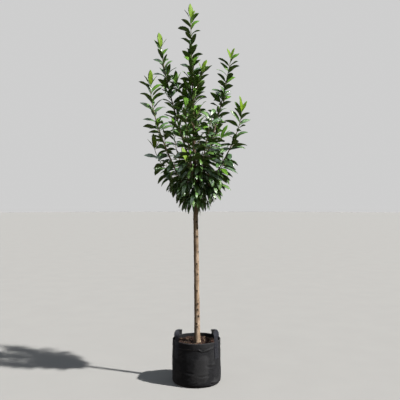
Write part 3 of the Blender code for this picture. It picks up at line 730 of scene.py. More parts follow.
def webbingFinish():
    # Dark webbing: ribs along it and picks across it, dusty, and with painted shade where it faces inward or
    # turns under
    sheen = {"Sheen Weight": 0.06, "Sheen Roughness": 0.4}
    finish = Finish("handleWebbing", (0.012, 0.013, 0.018), 0.8, 0.10, sheen)
    ribs, picks = finish.bands(95.0, "X", 0.4), finish.bands(150.0, "Y", 0.8)
    fuzz = finish.noise(700, 3)
    # painted shade where the strap faces inward or turns under, carried by the inner mark
    inner = finish.math("MULTIPLY", finish.mark("inner"), 0.90)
    tone = finish.cover(ribs, (0.5, picks))
    base = finish.ramp(tone, (0.2, (0.010, 0.011, 0.015)), (0.8, (0.026, 0.027, 0.036)))
    dust = finish.remap(finish.noise(30, 5), 0.5, 0.8, (0.0, 0.4))
    base = finish.cover(base, (dust, (0.042, 0.043, 0.047)), (inner, (0.0030, 0.0032, 0.0040)))
    return finish.done(base, finish.remap(fuzz, 0.2, 0.8, (0.6, 0.85)),
                       (ribs, 0.0004), (picks, 0.0003), (fuzz, 0.0002))


def makeStrap(name, side, values, material):
    # A rounded flat band, 2 by (ribs + 1) points round, carried along the route. Where it is sewn
    # it follows the bag's own relief; across it a low wave gives the woven ribs. The loop is
    # straight in plan, so its radius is that of the legs times cos(half) / cos(from the middle)
    rim = bagValues["height"]
    even, angle, height, twist = strapRoute(values)
    half = math.radians(values["backLeg"] + values["frontLeg"]) / 2
    centre = math.radians(values["backLeg"] - values["frontLeg"]) / 2
    chord = math.cos(half) / np.cos(np.clip(angle - centre, -half, half))
    world = angle if side > 0 else math.pi - angle
    low = np.minimum(height, rim)
    past, fade = values["sewnEnd"]
    sewn = np.clip((rim + past - height) / fade, 0, 1)
    thick = values["thickness"] / 2
    hem = bagValues["hemStands"] * ramped(low, rim - bagValues["hemHeight"], 0.004)
    off = hem + values["clear"] + thick

    outward = polar(1, world, 0)
    around = polar(1, world + math.pi / 2, 0) * side
    route = polar((bagOutside(world, low) + off) * chord, world, height + rimLift(world, height))
    forward = unit(np.gradient(route, axis=0))
    turn = (twist * math.pi / 2)[:, None]
    tilt = math.radians(values["tilt"])
    across = np.cos(turn) * around + np.sin(turn) * (outward * math.cos(tilt) - [0, 0, math.sin(tilt)])
    across = unit(across - forward * (across * forward).sum(axis=1)[:, None])
    face = np.cross(forward, across) * side

    count = values["ribs"] + 1
    v = np.linspace(-1, 1, count)
    edge = np.sqrt(np.clip(1 - np.abs(v) ** 10, 0, 1))
    top = thick * np.maximum(edge, 0.25) + values["ribHeight"] * np.cos(v * values["ribs"] * math.pi)
    over = np.sin(np.clip(twist, 0, 2) * math.pi / 2)
    behind = np.sqrt(np.sin(math.pi * ramped(twist, 0.4, 1.6)))[:, None]
    slack = values["slack"] * np.sin(even * values["slackWaves"]) * (1 - sewn) + values["cupped"] * over
    wide = values["width"] / 2 * (1 - values["narrowed"] * over)
    points = []
    for sign, w in ((1, v), (-1, v[::-1])):
        spot = route[:, None] + across[:, None] * (w * wide[:, None])[..., None]
        bend = np.arctan2(spot[..., 1], spot[..., 0])
        onBag = bagOutside(bend, np.minimum(spot[..., 2], rim)) + off[:, None]
        pull = 1 + sewn[:, None] * (onBag / np.linalg.norm(spot[..., :2], axis=2) - 1)
        spot[..., :2] *= pull[..., None]
        spot = spot + face[:, None] * (sign * top[::sign] + slack[:, None] * w**2)[..., None]
        spot[..., 2] -= values["folded"] * behind * np.maximum(-w, 0) ** 1.5
        points.append(spot)
    ring = np.concatenate(points, axis=1)

    u = np.concatenate([v, v[::-1]]) * values["width"] / 2
    uv = np.stack(np.broadcast_arrays(u, even[:, None]), axis=-1)
    # Painted shade: the whole inner face above the rim, and the inward part of the outer face where the loop
    # turns over, are darkened
    corner = ramped(twist, 0.10, 0.2) * np.clip((2 - twist) / 0.3, 0, 1)
    dark = np.maximum(behind * np.interp(v, (-0.35, -0.10), (1, 0)),
                      corner[:, None] * np.interp(v, (-0.66, -0.44), (1, 0)))
    inner = np.concatenate([np.repeat(1 - sewn[:, None], count, axis=1), dark[:, ::-1]], axis=1)
    strap = newPiece(name, withEnds(ring, *ring[[0, -1]].mean(axis=1)),
                     closedFaces(*ring.shape[:2], inward=side < 0), [material],
                     uv=withEnds(uv, (0, 0), (0, even[-1])), marks={"inner": inner}, sharp=60)
    outer = ring[:, :count] if (face[0] @ outward[0]) > 0 else ring[:, count:][:, ::-1]
    return strap, outer, even


def onLeg(grid, run, down, v):
    # Points on the strap's outer face at a distance along it and a share of its half width, each
    # blended from the four grid points round it
    row, column = np.interp(down, run, np.arange(len(run))), (v + 1) / 2 * (grid.shape[1] - 1)
    r0, c0 = np.floor(row).astype(int), np.floor(column).astype(int)
    r1, c1 = np.minimum(r0 + 1, len(run) - 1), np.minimum(c0 + 1, grid.shape[1] - 1)
    fr, fc = (row - r0)[:, None], (column - c0)[:, None]
    low = grid[r0, c0] * (1 - fc) + grid[r0, c1] * fc
    high = grid[r1, c0] * (1 - fc) + grid[r1, c1] * fc
    return low * (1 - fr) + high * fr


def makeStrapStitches(outers, values):
    # A box with a cross in it on each sewn leg, and a second line across the hem
    (low, high), edge, level = values["stitchBox"], values["stitchEdge"], values["stitchLevel"]
    lines = (((low, -edge), (low, edge), (high, edge), (high, -edge), (low, -edge)),
             ((low, -edge), (high, edge)), ((low, edge), (high, -edge)), ((level, -edge), (level, edge)))
    pairs = [pair for line in lines for pair in zip(line[:-1], line[1:])]
    starts, stops = [], []
    for outer, even in outers:
        for grid, run in ((outer, even), (outer[::-1], (even[-1] - even)[::-1])):
            for (d0, v0), (d1, v1) in pairs:
                span = math.hypot(d1 - d0, (v1 - v0) * values["width"] / 2)
                count = max(2, round(span / values["stitchPitch"]))
                share = np.arange(count) / count
                for ends, along in ((starts, share), (stops, share + values["stitchFilled"] / count)):
                    ends.append(onLeg(grid, run, d0 + (d1 - d0) * along, v0 + (v1 - v0) * along))
    threads = threadPart(np.concatenate(starts), np.concatenate(stops), values["stitchRadius"])
    return newPiece("handleStitches", *threads, [stitchFinish])


webbing = webbingFinish()
outers = []
for name, side, node in (("handleStrapRight", 1, "handle_right"), ("handleStrapLeft", -1, "handle_left")):
    strap, *outer = makeStrap(name, side, strapValues, webbing)
    dress(strap, "strap_webbing", node)
    outers.append(outer)
dress(makeStrapStitches(outers, strapValues), "strap_webbing")
print("handles made")


# Bark chips over the soil

soilValues = dict(
    top=0.286,
    seat=0.040,
    dish=0.120,
    dishRise=0.004,
    shoulderWidth=0.014,
    shoulderDrop=0.005,
    rough=0.0030,
    roughCell=0.022,
    roughReach=(0.022, 0.02),  # from this radius, growing over this distance
    heap=0.004,  # the soil is higher at the front left
    heapAngle=-2.40,
    heapWidth=0.75,
    heapReach=(0.080, 0.06),
    sunk=0.002,  # below the solids' soil, which the chips make up
    rings=44,
    columns=120,
    chips=820,
    chipSides=7,
    chipLength=(0.010, 0.036),
    chipWidth=(0.35, 0.65),  # of the length
    chipThickness=(0.0022, 0.0050),
    chipTilt=0.24,
    chipShorter=(0.6, 1),
    chipClear=0.004,  # from the bag's inner face
    chipInner=0.026,  # the radius round the stem that stays free
    chipUneven=(0.72, 1.12),
    chipJitter=(0.93, 1.05),
    chipWarp=0.14,  # of its thickness
    chipLift=(0.0005, 0.0055),
    chipKinds=(  # name, dark and light tone, and share of the chips
        ("redBarkChip", (0.010, 0.004, 0.003), (0.104, 0.050, 0.040), 0.33),
        ("darkBarkChip", (0.006, 0.004, 0.003), (0.026, 0.016, 0.013), 0.32),
        ("tanBarkChip", (0.020, 0.013, 0.008), (0.130, 0.094, 0.062), 0.15),
        ("greyBarkChip", (0.012, 0.009, 0.007), (0.068, 0.050, 0.042), 0.20),
    ),
    seed=23,
)


def soilHeight(x, y):
    # Flat round the stem, then rising gently towards the bag, with a heap at one side
    values = soilValues
    radius = np.hypot(x, y)
    side = bagProfileRadius(values["top"]) - bagValues["wall"]
    stops = (0, values["seat"], values["dish"], side - values["shoulderWidth"], side)
    rises = (0, 0, values["dishRise"], values["dishRise"], -values["shoulderDrop"])
    heap = bell(angleGap(np.arctan2(y, x), values["heapAngle"]), values["heapWidth"])
    heap = values["heap"] * heap * ramped(radius, *values["heapReach"])
    place = np.stack([x, y, 0 * x], axis=-1)
    rough = values["rough"] * layeredNoise(place, values["roughCell"], seed=3)
    rough = rough * ramped(radius, *values["roughReach"])
    return values["top"] + np.interp(radius, stops, rises) + heap + rough - values["sunk"]


def chipFinish(name, low, high):
    # Grain drawn out along each chip, from a dark to a light tone
    finish = Finish(name, high, 0.85, 0.1)
    grain = finish.noise(190, 5, (0.35, 1.0, 1.0), distortion=0.6)
    return finish.done(finish.ramp(grain, (0.32, low), (0.68, high)),
                       finish.remap(grain, 0.2, 0.8, (0.7, 0.95)),
                       (grain, 0.0012), (finish.noise(700, 3), 0.0004))


def makeSoil(values):
    # A disc of rings, each point's height from soilHeight, closed below by a flat floor
    side = bagProfileRadius(values["top"]) - bagValues["wall"] + 0.0008
    radius = np.concatenate([np.linspace(0.006, side, values["rings"]), [side - 0.016, side - 0.020]])
    radii, angles = np.meshgrid(radius, roundAngles(values["columns"]), indexing="ij")
    radii = radii + bagRelief(angles, np.full_like(angles, 0.26)) * (radii / side) ** 4
    points = polar(radii, angles, 0)
    points[..., 2] = soilHeight(points[..., 0], points[..., 1])
    foot = bagValues["height"] - bagValues["insideDepth"] - 0.010
    points[-2:, :, 2] = foot
    finish = grainFinish("darkSoil", ((0.007, 0.004, 0.003), (0.026, 0.015, 0.010), (0.030, 0.018, 0.012)),
                         0.95, 0.2, (160, 6), (0.35, 0.7), bump=0.004)
    return newPiece("soilBed", withEnds(points, (0, 0, values["top"] - values["sunk"]), (0, 0, foot)),
                    closedFaces(*radii.shape, inward=True), [finish])


def makeChips(values):
    # Each chip is three rings of points and two middle points: a flat splinter with chamfered
    # edges, scaled, tilted and turned, lying on the soil
    chance = np.random.default_rng(values["seed"])
    count, sides = values["chips"], values["chipSides"]
    length = chance.uniform(*values["chipLength"], count)
    length = length * chance.uniform(*values["chipShorter"], count)
    width = length * chance.uniform(*values["chipWidth"], count)
    thick = chance.uniform(*values["chipThickness"], count)
    reach = bagProfileRadius(values["top"]) - bagValues["wall"] - values["chipClear"] - length / 2
    inner = values["chipInner"]
    radius = inner + (reach - inner) * np.sqrt(chance.uniform(0, 1, count))
    x, y, _ = polar(radius, chance.uniform(0, math.tau, count), 0).T
    turn = chance.uniform(0, math.tau, count)
    tiltX, tiltY = np.sin(chance.normal(0, values["chipTilt"], (2, count)))[..., None]

    corner = roundAngles(sides)
    warp, shape = values["chipWarp"], (count, sides)
    uneven = chance.uniform(*values["chipUneven"], shape)
    rings = []
    for size, height in ((0.80, -0.5), (1.0, 0.0), (0.84, 0.5)):
        jitter = uneven * chance.uniform(*values["chipJitter"], shape) * size
        rings.append(np.stack([
            jitter * np.cos(corner) * length[:, None] / 2,
            jitter * np.sin(corner) * width[:, None] / 2,
            (height + chance.uniform(-warp, warp, shape)) * thick[:, None],
        ], axis=-1))
    middles = np.zeros((count, 2, 3))
    middles[..., 2] = thick[:, None] * [-0.5, 0.5]
    local = np.concatenate([*rings, middles], axis=1)
    local[..., 2] += local[..., 0] * tiltX + local[..., 1] * tiltY
    cos, sin = np.cos(turn)[:, None], np.sin(turn)[:, None]
    world = np.stack([
        x[:, None] + local[..., 0] * cos - local[..., 1] * sin,
        y[:, None] + local[..., 0] * sin + local[..., 1] * cos,
        local[..., 2],
    ], axis=-1)
    world[..., 2] += (soilHeight(x, y) + chance.uniform(*values["chipLift"], count))[:, None]

    faces = closedFaces(3, sides)
    kind = chance.choice(4, count, p=[share for *_, share in values["chipKinds"]])
    slots = np.concatenate([np.repeat(kind, len(part)) for part in faces])
    finishes = [chipFinish(*tones) for *tones, _ in values["chipKinds"]]
    return newPiece("barkChips", world.reshape(-1, 3),
                    [repeatFaces(part, count, local.shape[1]) for part in faces], finishes, slots, sharp=35)


dress(makeSoil(soilValues), "bark_chips", "soil")
dress(makeChips(soilValues), "bark_chips")
print("soil and chips made")


# The stem

trunkValues = dict(
    foot=0.2863,
    tip=2.20,
    leaderBud=2.680,
    footX=0.0045,
    lean=0.0485,
    leanPower=1.5,
    bow=0.008,
    upright=0.012,  # how much of the foot stands straight up
    butt=0.0040,  # how much wider the lower stem is
    buttHeight=0.30,
    clearRadius=0.0180,
    meanRadius=0.0186,
    crownBase=1.30,
    crownRadius=0.0178,
    twigRadius=0.0018,
    flare=0.0040,
    flareHeight=0.035,
    flutes=((0.0022, 4, 0.6), (0.0012, 7, 2.0)),  # depth, number round the foot and turn
    fluteHeight=0.030,
    barkDrawn=0.22,  # a smaller number draws the bark's pattern out further upward
    fissures=0.00055,
    fissureCell=0.009,
    swellings=0.0011,
    swellingCell=0.016,
    youngFrom=(1.2, 0.5),  # from this height, growing over this one
    columns=72,
    fineStep=0.0021,  # below the crown
    fineTop=1.36,
    coarseStep=0.0060,
    lenticels=430,
    lenticelTop=1.75,
    lenticelStands=0.00050,
    lenticelWidths=(0.0016, 0.0050),  # half of each
    lenticelHeights=(0.0011, 0.0024),
    scars=((0.404, 272, 0.9), (0.426, 260, 1.1), (0.481, 303, 1.3), (0.529, 284, 1.1),
           (0.572, 290, 1.1), (0.625, 120, 1.0), (0.668, 276, 0.9), (0.742, 20, 1.1), (0.790, 296, 0.9),
           (0.866, 280, 1.0), (0.955, 320, 1.0), (1.068, 298, 1.1), (1.128, 312, 1.1), (1.177, 290, 0.9),
           (1.196, 150, 1.0)),  # height, heading and size
    stain=0.80,  # painted shade: the side away from the key light is darkened
    paintedShadeHeading=188,
    paintedShadeWidth=0.85,
    scarRadius=0.0080,
    scarStands=0.0026,
    scarTaller=1.25,
    scarWidths=(1.15, 0.42, 0.75),  # of the collar, of its hollow and of the dark mark
    scarHollow=0.85,
    seed=31,
)


def trunkAxis(height):
    # x falls by lean * share^1.5 and y bows by a half sine, from the foot up to the leader's bud
    values = trunkValues
    share = ramped(height, values["foot"], values["leaderBud"] - values["foot"])
    x = values["footX"] - values["lean"] * share ** values["leanPower"]
    return np.stack([x, values["bow"] * np.sin(math.pi * share), height + 0 * share], axis=-1)


def trunkRadius(height):
    # Nearly even up to the crown, then thinning by (1 - share)^1.5, with a flare at the soil
    values = trunkValues
    foot, base, twig = values["foot"], values["crownBase"], values["twigRadius"]
    clear = values["clearRadius"]
    clear = clear + (values["crownRadius"] - clear) * ramped(height, foot, base - foot)
    crown = ramped(height, base, values["leaderBud"] - base)
    flare = values["flare"] * np.exp(-(height - foot) / values["flareHeight"])
    butt = values["butt"] * np.exp(-(height - foot) / values["buttHeight"])
    return twig + (clear - twig) * (1 - crown) ** 1.5 + flare + butt


def barkFinish():
    # Pale bark with dark fissures, browner in the crown, painted shade on the side away from the key light,
    # and specks and scars
    finish = Finish("stemBark", (0.150, 0.118, 0.092), 0.85, 0.12)
    broad = finish.noise(38, 5, (1, 1, 0.35))
    fine = finish.noise(240, 5, (1, 1, 0.30), distortion=0.4)
    rings = finish.noise(420, 3, (0.25, 0.25, 1.6))
    height = finish.node("SeparateXYZ", {0: finish.place()}).outputs["Z"]
    paintedShadeShare = finish.math("MULTIPLY", finish.mark("stain"), finish.remap(broad, 0.3, 0.6, (1.0, 0.8)))
    base = finish.cover(
        finish.ramp(broad, (0.30, (0.225, 0.157, 0.105)), (0.52, (0.450, 0.335, 0.240)),
                    (0.72, (0.620, 0.495, 0.385))),
        (finish.remap(fine, 0.42, 0.66, (0.0, 0.65)), (0.095, 0.070, 0.048)),
        (finish.remap(height, 0.92, 1.20, (0.0, 0.50)), (0.190, 0.160, 0.115)),  # olive higher up
        (finish.remap(height, 1.24, 1.42, (0.0, 0.80)), (0.070, 0.040, 0.028)),  # young in the crown
        (finish.remap(finish.noise(14, 4), 0.56, 0.70, (0.0, 0.25)), (0.150, 0.155, 0.090)),  # moss
        # painted shade on the side away from the key light
        (paintedShadeShare, (0.060, 0.042, 0.028)),
        (finish.remap(finish.mark("speck"), 0.1, 0.7, (0.0, 0.9)), (0.034, 0.022, 0.015)),
        (finish.remap(finish.mark("scar"), 0.15, 0.7), (0.012, 0.008, 0.006)),
    )
    return finish.done(base, finish.remap(broad, 0.3, 0.7, (0.70, 0.92)),
                       (fine, 0.0009), (rings, 0.0004), (broad, 0.0010))


def makeTrunk(values):
    # A circle of trunkRadius carried up trunkAxis. The relief adds long soft fissures, a fluted
    # flare, raised level dashes (the lenticels) and pruned side-shoot scars: a collar of
    # e^(-(d/r)^2) with a sunken middle
    foot, mean = values["foot"], values["meanRadius"]
    height = np.concatenate([
        np.arange(foot, values["fineTop"], values["fineStep"]),
        np.arange(values["fineTop"], values["tip"], values["coarseStep"]), [values["tip"]],
    ])
    heights, angles = np.meshgrid(height, roundAngles(values["columns"]), indexing="ij")
    plain = trunkRadius(heights)
    wrapped = polar(mean, angles, heights * values["barkDrawn"])
    young = ramped(heights, *values["youngFrom"])
    relief = values["fissures"] * (1 - 0.6 * young) * layeredNoise(wrapped, values["fissureCell"], seed=2)
    swellings = smoothNoise(wrapped * [1, 1, 0.5], values["swellingCell"], seed=8)
    relief += values["swellings"] * (1 - young) * swellings
    fade = np.exp(-(heights - foot) / values["fluteHeight"])
    relief += sum(depth * fade * np.sin(number * angles + turn) for depth, number, turn in values["flutes"])

    chance = random.Random(values["seed"])
    speck, scar = np.zeros_like(heights), np.zeros_like(heights)
    for _ in range(values["lenticels"]):
        level = chance.uniform(foot + 0.02, values["lenticelTop"])
        centre = chance.uniform(0, math.tau)
        halfWidth = chance.uniform(*values["lenticelWidths"]) / mean
        halfHeight = chance.uniform(*values["lenticelHeights"])
        rows = slice(*np.searchsorted(height, [level - 4 * halfHeight, level + 4 * halfHeight]))
        off = angleGap(angles[rows], centre) / halfWidth
        up = (heights[rows] - level) / halfHeight
        shape = np.exp(-np.abs(off) ** 3 - up**2)
        speck[rows] = np.maximum(speck[rows], shape * chance.uniform(0.5, 1.0))
    relief += values["lenticelStands"] * speck
    collar, hollow, dark = values["scarWidths"]
    for level, heading, size in values["scars"]:
        off = angleGap(angles, math.radians(heading)) * plain
        distance = np.hypot(off, (heights - level) / values["scarTaller"])
        distance = distance / (values["scarRadius"] * size)
        sunken = values["scarHollow"] * bell(distance, hollow)
        relief += values["scarStands"] * (bell(distance, collar) - sunken)
        scar = np.maximum(scar, bell(distance, dark))

    # Painted shade: the bark darkens round the side away from the key light
    stain = bell(angleGap(angles, math.radians(values["paintedShadeHeading"])), values["paintedShadeWidth"])
    marks = {"speck": speck, "scar": scar, "stain": values["stain"] * stain}
    axis = trunkAxis(np.maximum(height, foot + values["upright"]))
    axis[:, 2] = height
    points = axis[:, None] + polar(plain + relief, angles, 0)
    return newPiece("stemBark", withEnds(points, axis[0], axis[-1] + [0, 0, 0.002]),
                    closedFaces(*heights.shape), [barkFinish()], marks=marks)


dress(makeTrunk(trunkValues), "trunk_bark", "trunk")
print("stem made")


# The crown: limbs first, then the twigs and leaves that grow on from them

crownValues = dict(
    seed="laurel",
    sway=0.006,
    shootRadius=0.0026,
    shootGrowth=0.0060,
    budRadius=0.0018,
    collar=0.55,  # how much wider a limb is where it leaves the stem
    collarReach=0.016,
    spurs=20,
    spurLowest=1.395,
    spurSpacing=0.040,
    spurReach=0.070,
    spurRise=0.095,
    skirtPlaces=((238, 1.344), (280, 1.336), (322, 1.344), (8, 1.350), (50, 1.336), (100, 1.330),
                 (150, 1.342), (196, 1.352)),
    skirtReach=0.072,
    skirtRise=0.008,
    fillerPlaces=((226, 1.380, 0.12), (275, 1.352, 0.12), (315, 1.378, 0.12), (4, 1.400, 0.12),
                  (110, 1.335, 0.12), (180, 1.420, 0.12), (60, 1.440, 0.12), (250, 1.450, 0.12),
                  (336, 1.415, 0.18), (205, 1.470, 0.12), (292, 1.490, 0.12), (140, 1.500, 0.12),
                  (18, 1.475, 0.17), (80, 1.560, 0.11), (352, 1.520, 0.19), (324, 1.495, 0.17)),
    fillerRise=0.045,
    boughBare=0.45,  # of the bare bough, how much stays without leaves
    twigSteps=((1.30, 0.070), (2.0, 0.160)),  # height, and the distance between side twigs
    twigLengths=((1.30, 0.135), (2.0, 0.085)),
    twigTurn=58.0,
    twigSpread=22,
    twigRise=40.0,
    twigCurve=32.0,
    twigRadius=0.0024,
    twigBare=0.022,
    twigLast=0.24,
    leafPitches=((1.30, -62.0), (1.45, -44.0), (1.61, -30.0), (1.70, -7.0), (1.82, 14.0), (2.05, 28.0),
                 (2.30, 33.0)),  # leaves hang at the foot of the crown and rise at its top
    tipLifts=((1.42, 4.0), (1.65, 26.0)),
    leafSteps=((1.30, 0.0190), (1.40, 0.0205), (1.50, 0.0250), (1.72, 0.0235), (1.83, 0.0162),
               (2.15, 0.0168), (2.45, 0.0215)),  # close at its foot and above its middle
    leafLengths=((1.30, 0.138), (1.55, 0.130), (1.75, 0.120), (2.30, 0.117)),
    lengthSpread=(0.84, 1.10),
    headingSpread=16,
    pitchSpread=18,
    arch=60,  # how far a leaf bends from root to tip, in degrees, and the spread of that
    archSpread=(0.5, 1.45),
    rolls=((17, 46), (4, 16)),  # about its midrib, for a grown leaf and for a new one
    twist=24,
    newTwist=0.4,  # of a grown leaf's
    widths=((0.28, 0.35), (0.24, 0.32)),  # of its length, above and below this height
    narrowBelow=1.55,
    shortStep=1.12,  # how much wider apart the leaves of a short stem are
    firstLeaf=0.010,
    goldenTurn=137.5,
    spirals=((1.30, 0.34), (1.55, 0.58), (1.75, 1.0)),  # of a full turn that the leaves spread round
    spiralPairs=((1.60, 0.40), (1.80, 1.0)),  # and every second leaf's share of that
    newLeaves=(  # heading, pitch, share of the length and tone, for three kinds of tip
        ((110, 80, 1.0, 4), (48, 62, 0.86, 4), (150, 56, 0.84, 3)),
        ((42, 63, 0.98, 4), (140, 66, 0.96, 4), (20, 40, 0.90, 3)),
        ((262, 74, 0.96, 4), (168, 57, 0.92, 4), (12, 60, 0.86, 4)),
    ),
    brightTips=dict(leader=0, left=0, low_left=2, high_left=0, high_right=1, right=0, upper_right=1,
                    low_front=1),
    greenTips=dict(upper_left=0, back=1, back_left=0, mid_right=1),
    newLeafLength=0.126,
    newHeading=18,  # the spreads of the new leaves
    newPitch=5,
    newArch=16,
    freshTips=(0.55, 0.08),  # the chance of a fresh leaf at a tip, and how soon it fades below
    freshFrom=(1.50, 0.20),  # from this height, growing over this one
    freshTop=(0.12, 1.9, 0.5),  # a further chance, also from a height and over one
    toneDraws=(0.30, 0.80),  # of the others: mid green below the first, mature below the second
    tuft=0.012,
    tuftGap=0.024,  # between the youngest dark leaves and the new ones
    pairReach=0.110,  # over which the dark leaves below the new ones spread left and right
    pairSpread=30,
    pairPitch=8.0,
    sunnySide=0.45,  # how much longer the lower leaves are for each metre towards the right
    woodClear=0.0035,
    clearShares=(0.12, 1, 9),  # the part of a leaf that has to be clear, and at how many places
    clearHalf=0.15,  # of its length, to either side
    turns=((0, 1), (0.3, 1), (0.6, 1), (1, 1), (0.8, 0.75)),  # how far outward, and length, to try
    tipFree=0.004,
    tipLiftFade=0.07,
    tipShorter=(0.10, 0.06),  # by this share at the tip, fading over this distance
    sunnyBelow=(1.80, 0.1),  # this height, growing over this one
    newPlaces=(0.2, 0.35),  # of the tuft, for the first and from one to the next
    newLengthSpread=(0.90, 1.06),
    twigLengthSpread=(0.75, 1.2),
    twigStepSpread=(0.85, 1.15),
    twigFirst=0.03,
    twigCollar=(0.003, 0.004),  # where it starts to narrow, and over which distance
    nodeSwelling=0.00035,
    barkRough=0.00025,
    greenLength=(0.38, 0.10),  # of a long stem's tip and of any other's
    limbStep=0.007,
    boughStep=0.004,
    boughSides=14,
)

# Name, height on the stem, heading, reach, height of the end bud, how soon it turns upright, and
# the share of its length that is a bare bough
longShoots = (
    ("left", 1.300, 200, 0.344, 2.160, 1.65, 0.14),
    ("low_left", 1.345, 165, 0.318, 1.722, 1.45, 0.20),
    ("high_left", 1.500, 152, 0.300, 2.505, 1.20, 0.09),
    ("high_right", 1.395, 33, 0.324, 2.430, 1.24, 0.11),
    ("right", 1.316, 335, 0.364, 1.965, 1.54, 0.17),
    ("front", 1.400, 255, 0.250, 1.995, 1.45, 0.14),
    ("front_right", 1.430, 294, 0.275, 1.935, 1.45, 0.15),
    ("back", 1.435, 92, 0.259, 2.235, 1.45, 0.12),
    ("back_left", 1.375, 125, 0.310, 1.890, 1.45, 0.15),
    ("back_right", 1.325, 62, 0.300, 1.935, 1.45, 0.15),
)
shortShoots = (
    ("upper_right", 2.090, 320, 0.085, 2.270, 1.3),
    ("upper_left", 2.030, 150, 0.150, 2.215, 1.3),
    ("low_front", 1.500, 232, 0.105, 1.616, 1.3),
    ("mid_right", 1.540, 348, 0.195, 1.790, 1.3),
)


def atHeight(height, stops):
    # Stops are (height, value); the values are blended in between
    return float(np.interp(height, *zip(*stops)))


def outwardOf(root):
    # Heading from the stem's axis to a point
    middle = trunkAxis(root[2])
    return math.atan2(root[1] - middle[1], root[0] - middle[0])


class Stem:
    # A route from the trunk to an end bud, with its run, its radius and where its leaves start
    def __init__(self, name, route, thick, kind, bare=0.0):
        self.name, self.route, self.thick, self.kind, self.bare = name, route, thick, kind, bare
        self.run = alongRun(route)
        self.length = self.run[-1]

    def at(self, distance):
        return np.stack([np.interp(distance, self.run, axis) for axis in self.route.T], axis=-1)

    def radius(self, distance):
        thin = crownValues["budRadius"]
        left = np.clip(1 - np.asarray(distance) / self.length, 0, 1)
        return thin + (self.thick - thin) * left**0.8

    def leavesTrunk(self):
        height = self.route[:, 2]
        out = np.linalg.norm((self.route - trunkAxis(height))[:, :2], axis=1)
        return self.run[np.argmax(out > trunkRadius(height) + 0.006)]


def shootStem(kind, name, start, heading, reach, bud, bow, bough=0.0):
    # Out along its heading by reach * (1 - (1 - s)^bow), up evenly, with a small sideways sway
    values = crownValues
    share = np.linspace(0, 1, 240)
    turned = math.radians(heading)
    out = reach * (1 - (1 - share) ** bow)
    sway = values["sway"] * share * np.sin(3 * math.pi * share + turned)
    base = trunkAxis(np.array(start))
    route = np.stack([
        base[0] + out * math.cos(turned) - sway * math.sin(turned),
        base[1] + out * math.sin(turned) + sway * math.cos(turned),
        start + (bud - start) * share,
    ], axis=1)
    length = np.linalg.norm(np.diff(route, axis=0), axis=1).sum()
    return Stem(name, route, values["shootRadius"] + values["shootGrowth"] * length, kind, bough * length)


def allStems():
    # The named shoots; spurs in a spiral up the stem, hanging skirts and fillers; and the leader
    values = crownValues
    stems = [shootStem("long", *shoot) for shoot in longShoots]
    stems += [shootStem("upright", *shoot) for shoot in shortShoots]
    spurs = [((10 + index * values["goldenTurn"]) % 360, values["spurLowest"] + index * values["spurSpacing"],
              values["spurReach"] * (1.1 - 0.03 * index)) for index in range(values["spurs"])]
    skirts = [(*place, values["skirtReach"]) for place in values["skirtPlaces"]]
    for name, places, rise, bow in (
            ("spur", spurs, values["spurRise"], 1.2), ("skirt", skirts, values["skirtRise"], 1.3),
            ("filler", values["fillerPlaces"], values["fillerRise"], 1.2)):
        for index, (heading, start, reach) in enumerate(places, 1):
            stems.append(shootStem("short", f"{name}_{index}", start, heading, reach, start + rise, bow))
    heights = np.linspace(trunkValues["tip"] - 0.004, trunkValues["leaderBud"], 200)
    return stems + [Stem("leader", trunkAxis(heights), float(trunkRadius(heights[0])), "long")]


def leafFrame(root, heading, pitch, length, arch, roll, twist, share):
    # The midrib is an arc in an upright plane: its pitch falls by arch from root to tip. Gives
    # the midrib's points, and the blade's across and upward directions, at each share
    first = pitch + arch / 2
    lean = first - arch * share
    level = np.stack([np.cos(heading) + 0 * share, np.sin(heading) + 0 * share, 0 * (share + heading)],
                     axis=-1)
    out = (np.sin(first) - np.sin(lean)) / arch * length
    rise = (np.cos(lean) - np.cos(first)) / arch * length
    up = np.array([0, 0, 1.0])
    cos, sin = np.cos(lean)[..., None], np.sin(lean)[..., None]
    middle = root + level * out[..., None] + up * rise[..., None]
    upward = up * cos - level * sin
    across = np.cross(level * cos + up * sin, upward)
    turned = (roll + twist * share)[..., None]
    cos, sin = np.cos(turned), np.sin(turned)
    return middle, across * cos + upward * sin, upward * cos - across * sin


class Crown:
    # Collects the leaves as rows of numbers and the side twigs as stems
    def __init__(self, stems):
        self.leaves = []
        self.twigs = []
        heights = np.arange(1.20, trunkValues["tip"], 0.012)
        wood = [(trunkAxis(heights), trunkRadius(heights))]
        for stem in stems:
            if stem.bare:
                run = np.arange(0.02, stem.bare, 0.012)
                wood.append((stem.at(run), stem.radius(run)))
        self.wood, self.woodRadius = (np.concatenate(part) for part in zip(*wood))

    def clear(self, root, heading, pitch, length, arch):
        # True if the leaf's midrib and both margins miss the trunk and the bare boughs
        share = np.linspace(*crownValues["clearShares"])
        middle, across, _ = leafFrame(root, heading, pitch, length, arch, 0.0, 0.0, share)
        half = crownValues["clearHalf"] * length
        points = np.concatenate([middle, middle + across * half, middle - across * half])
        gap = np.linalg.norm(points[:, None] - self.wood[None], axis=2) - self.woodRadius
        return gap.min() > crownValues["woodClear"]

    def add(self, chance, stem, distance, heading, pitch, length, arch, tone):
        # A leaf at a distance along a stem. Where wood is in its way it turns outward, or is shorter
        values = crownValues
        root, wood = stem.at(distance), float(stem.radius(distance))
        heading, pitch, arch = math.radians(heading), math.radians(pitch), math.radians(arch)
        side = angleGap(heading, outwardOf(root))
        new = tone == 4
        roll = math.radians(chance.choice((-1, 1)) * chance.uniform(*values["rolls"][new]))
        twist = math.radians(either(chance, values["twist"]) * (values["newTwist"] if new else 1))
        wave = chance.uniform(0, math.tau)
        width = chance.uniform(*values["widths"][root[2] < values["narrowBelow"]])
        for share, size in values["turns"]:
            turned = heading - side * share
            if self.clear(root, turned, pitch, length * size, arch):
                self.leaves.append((*root, turned, pitch, length * size, arch, roll, twist, wave, width,
                                    wood, tone))
                return


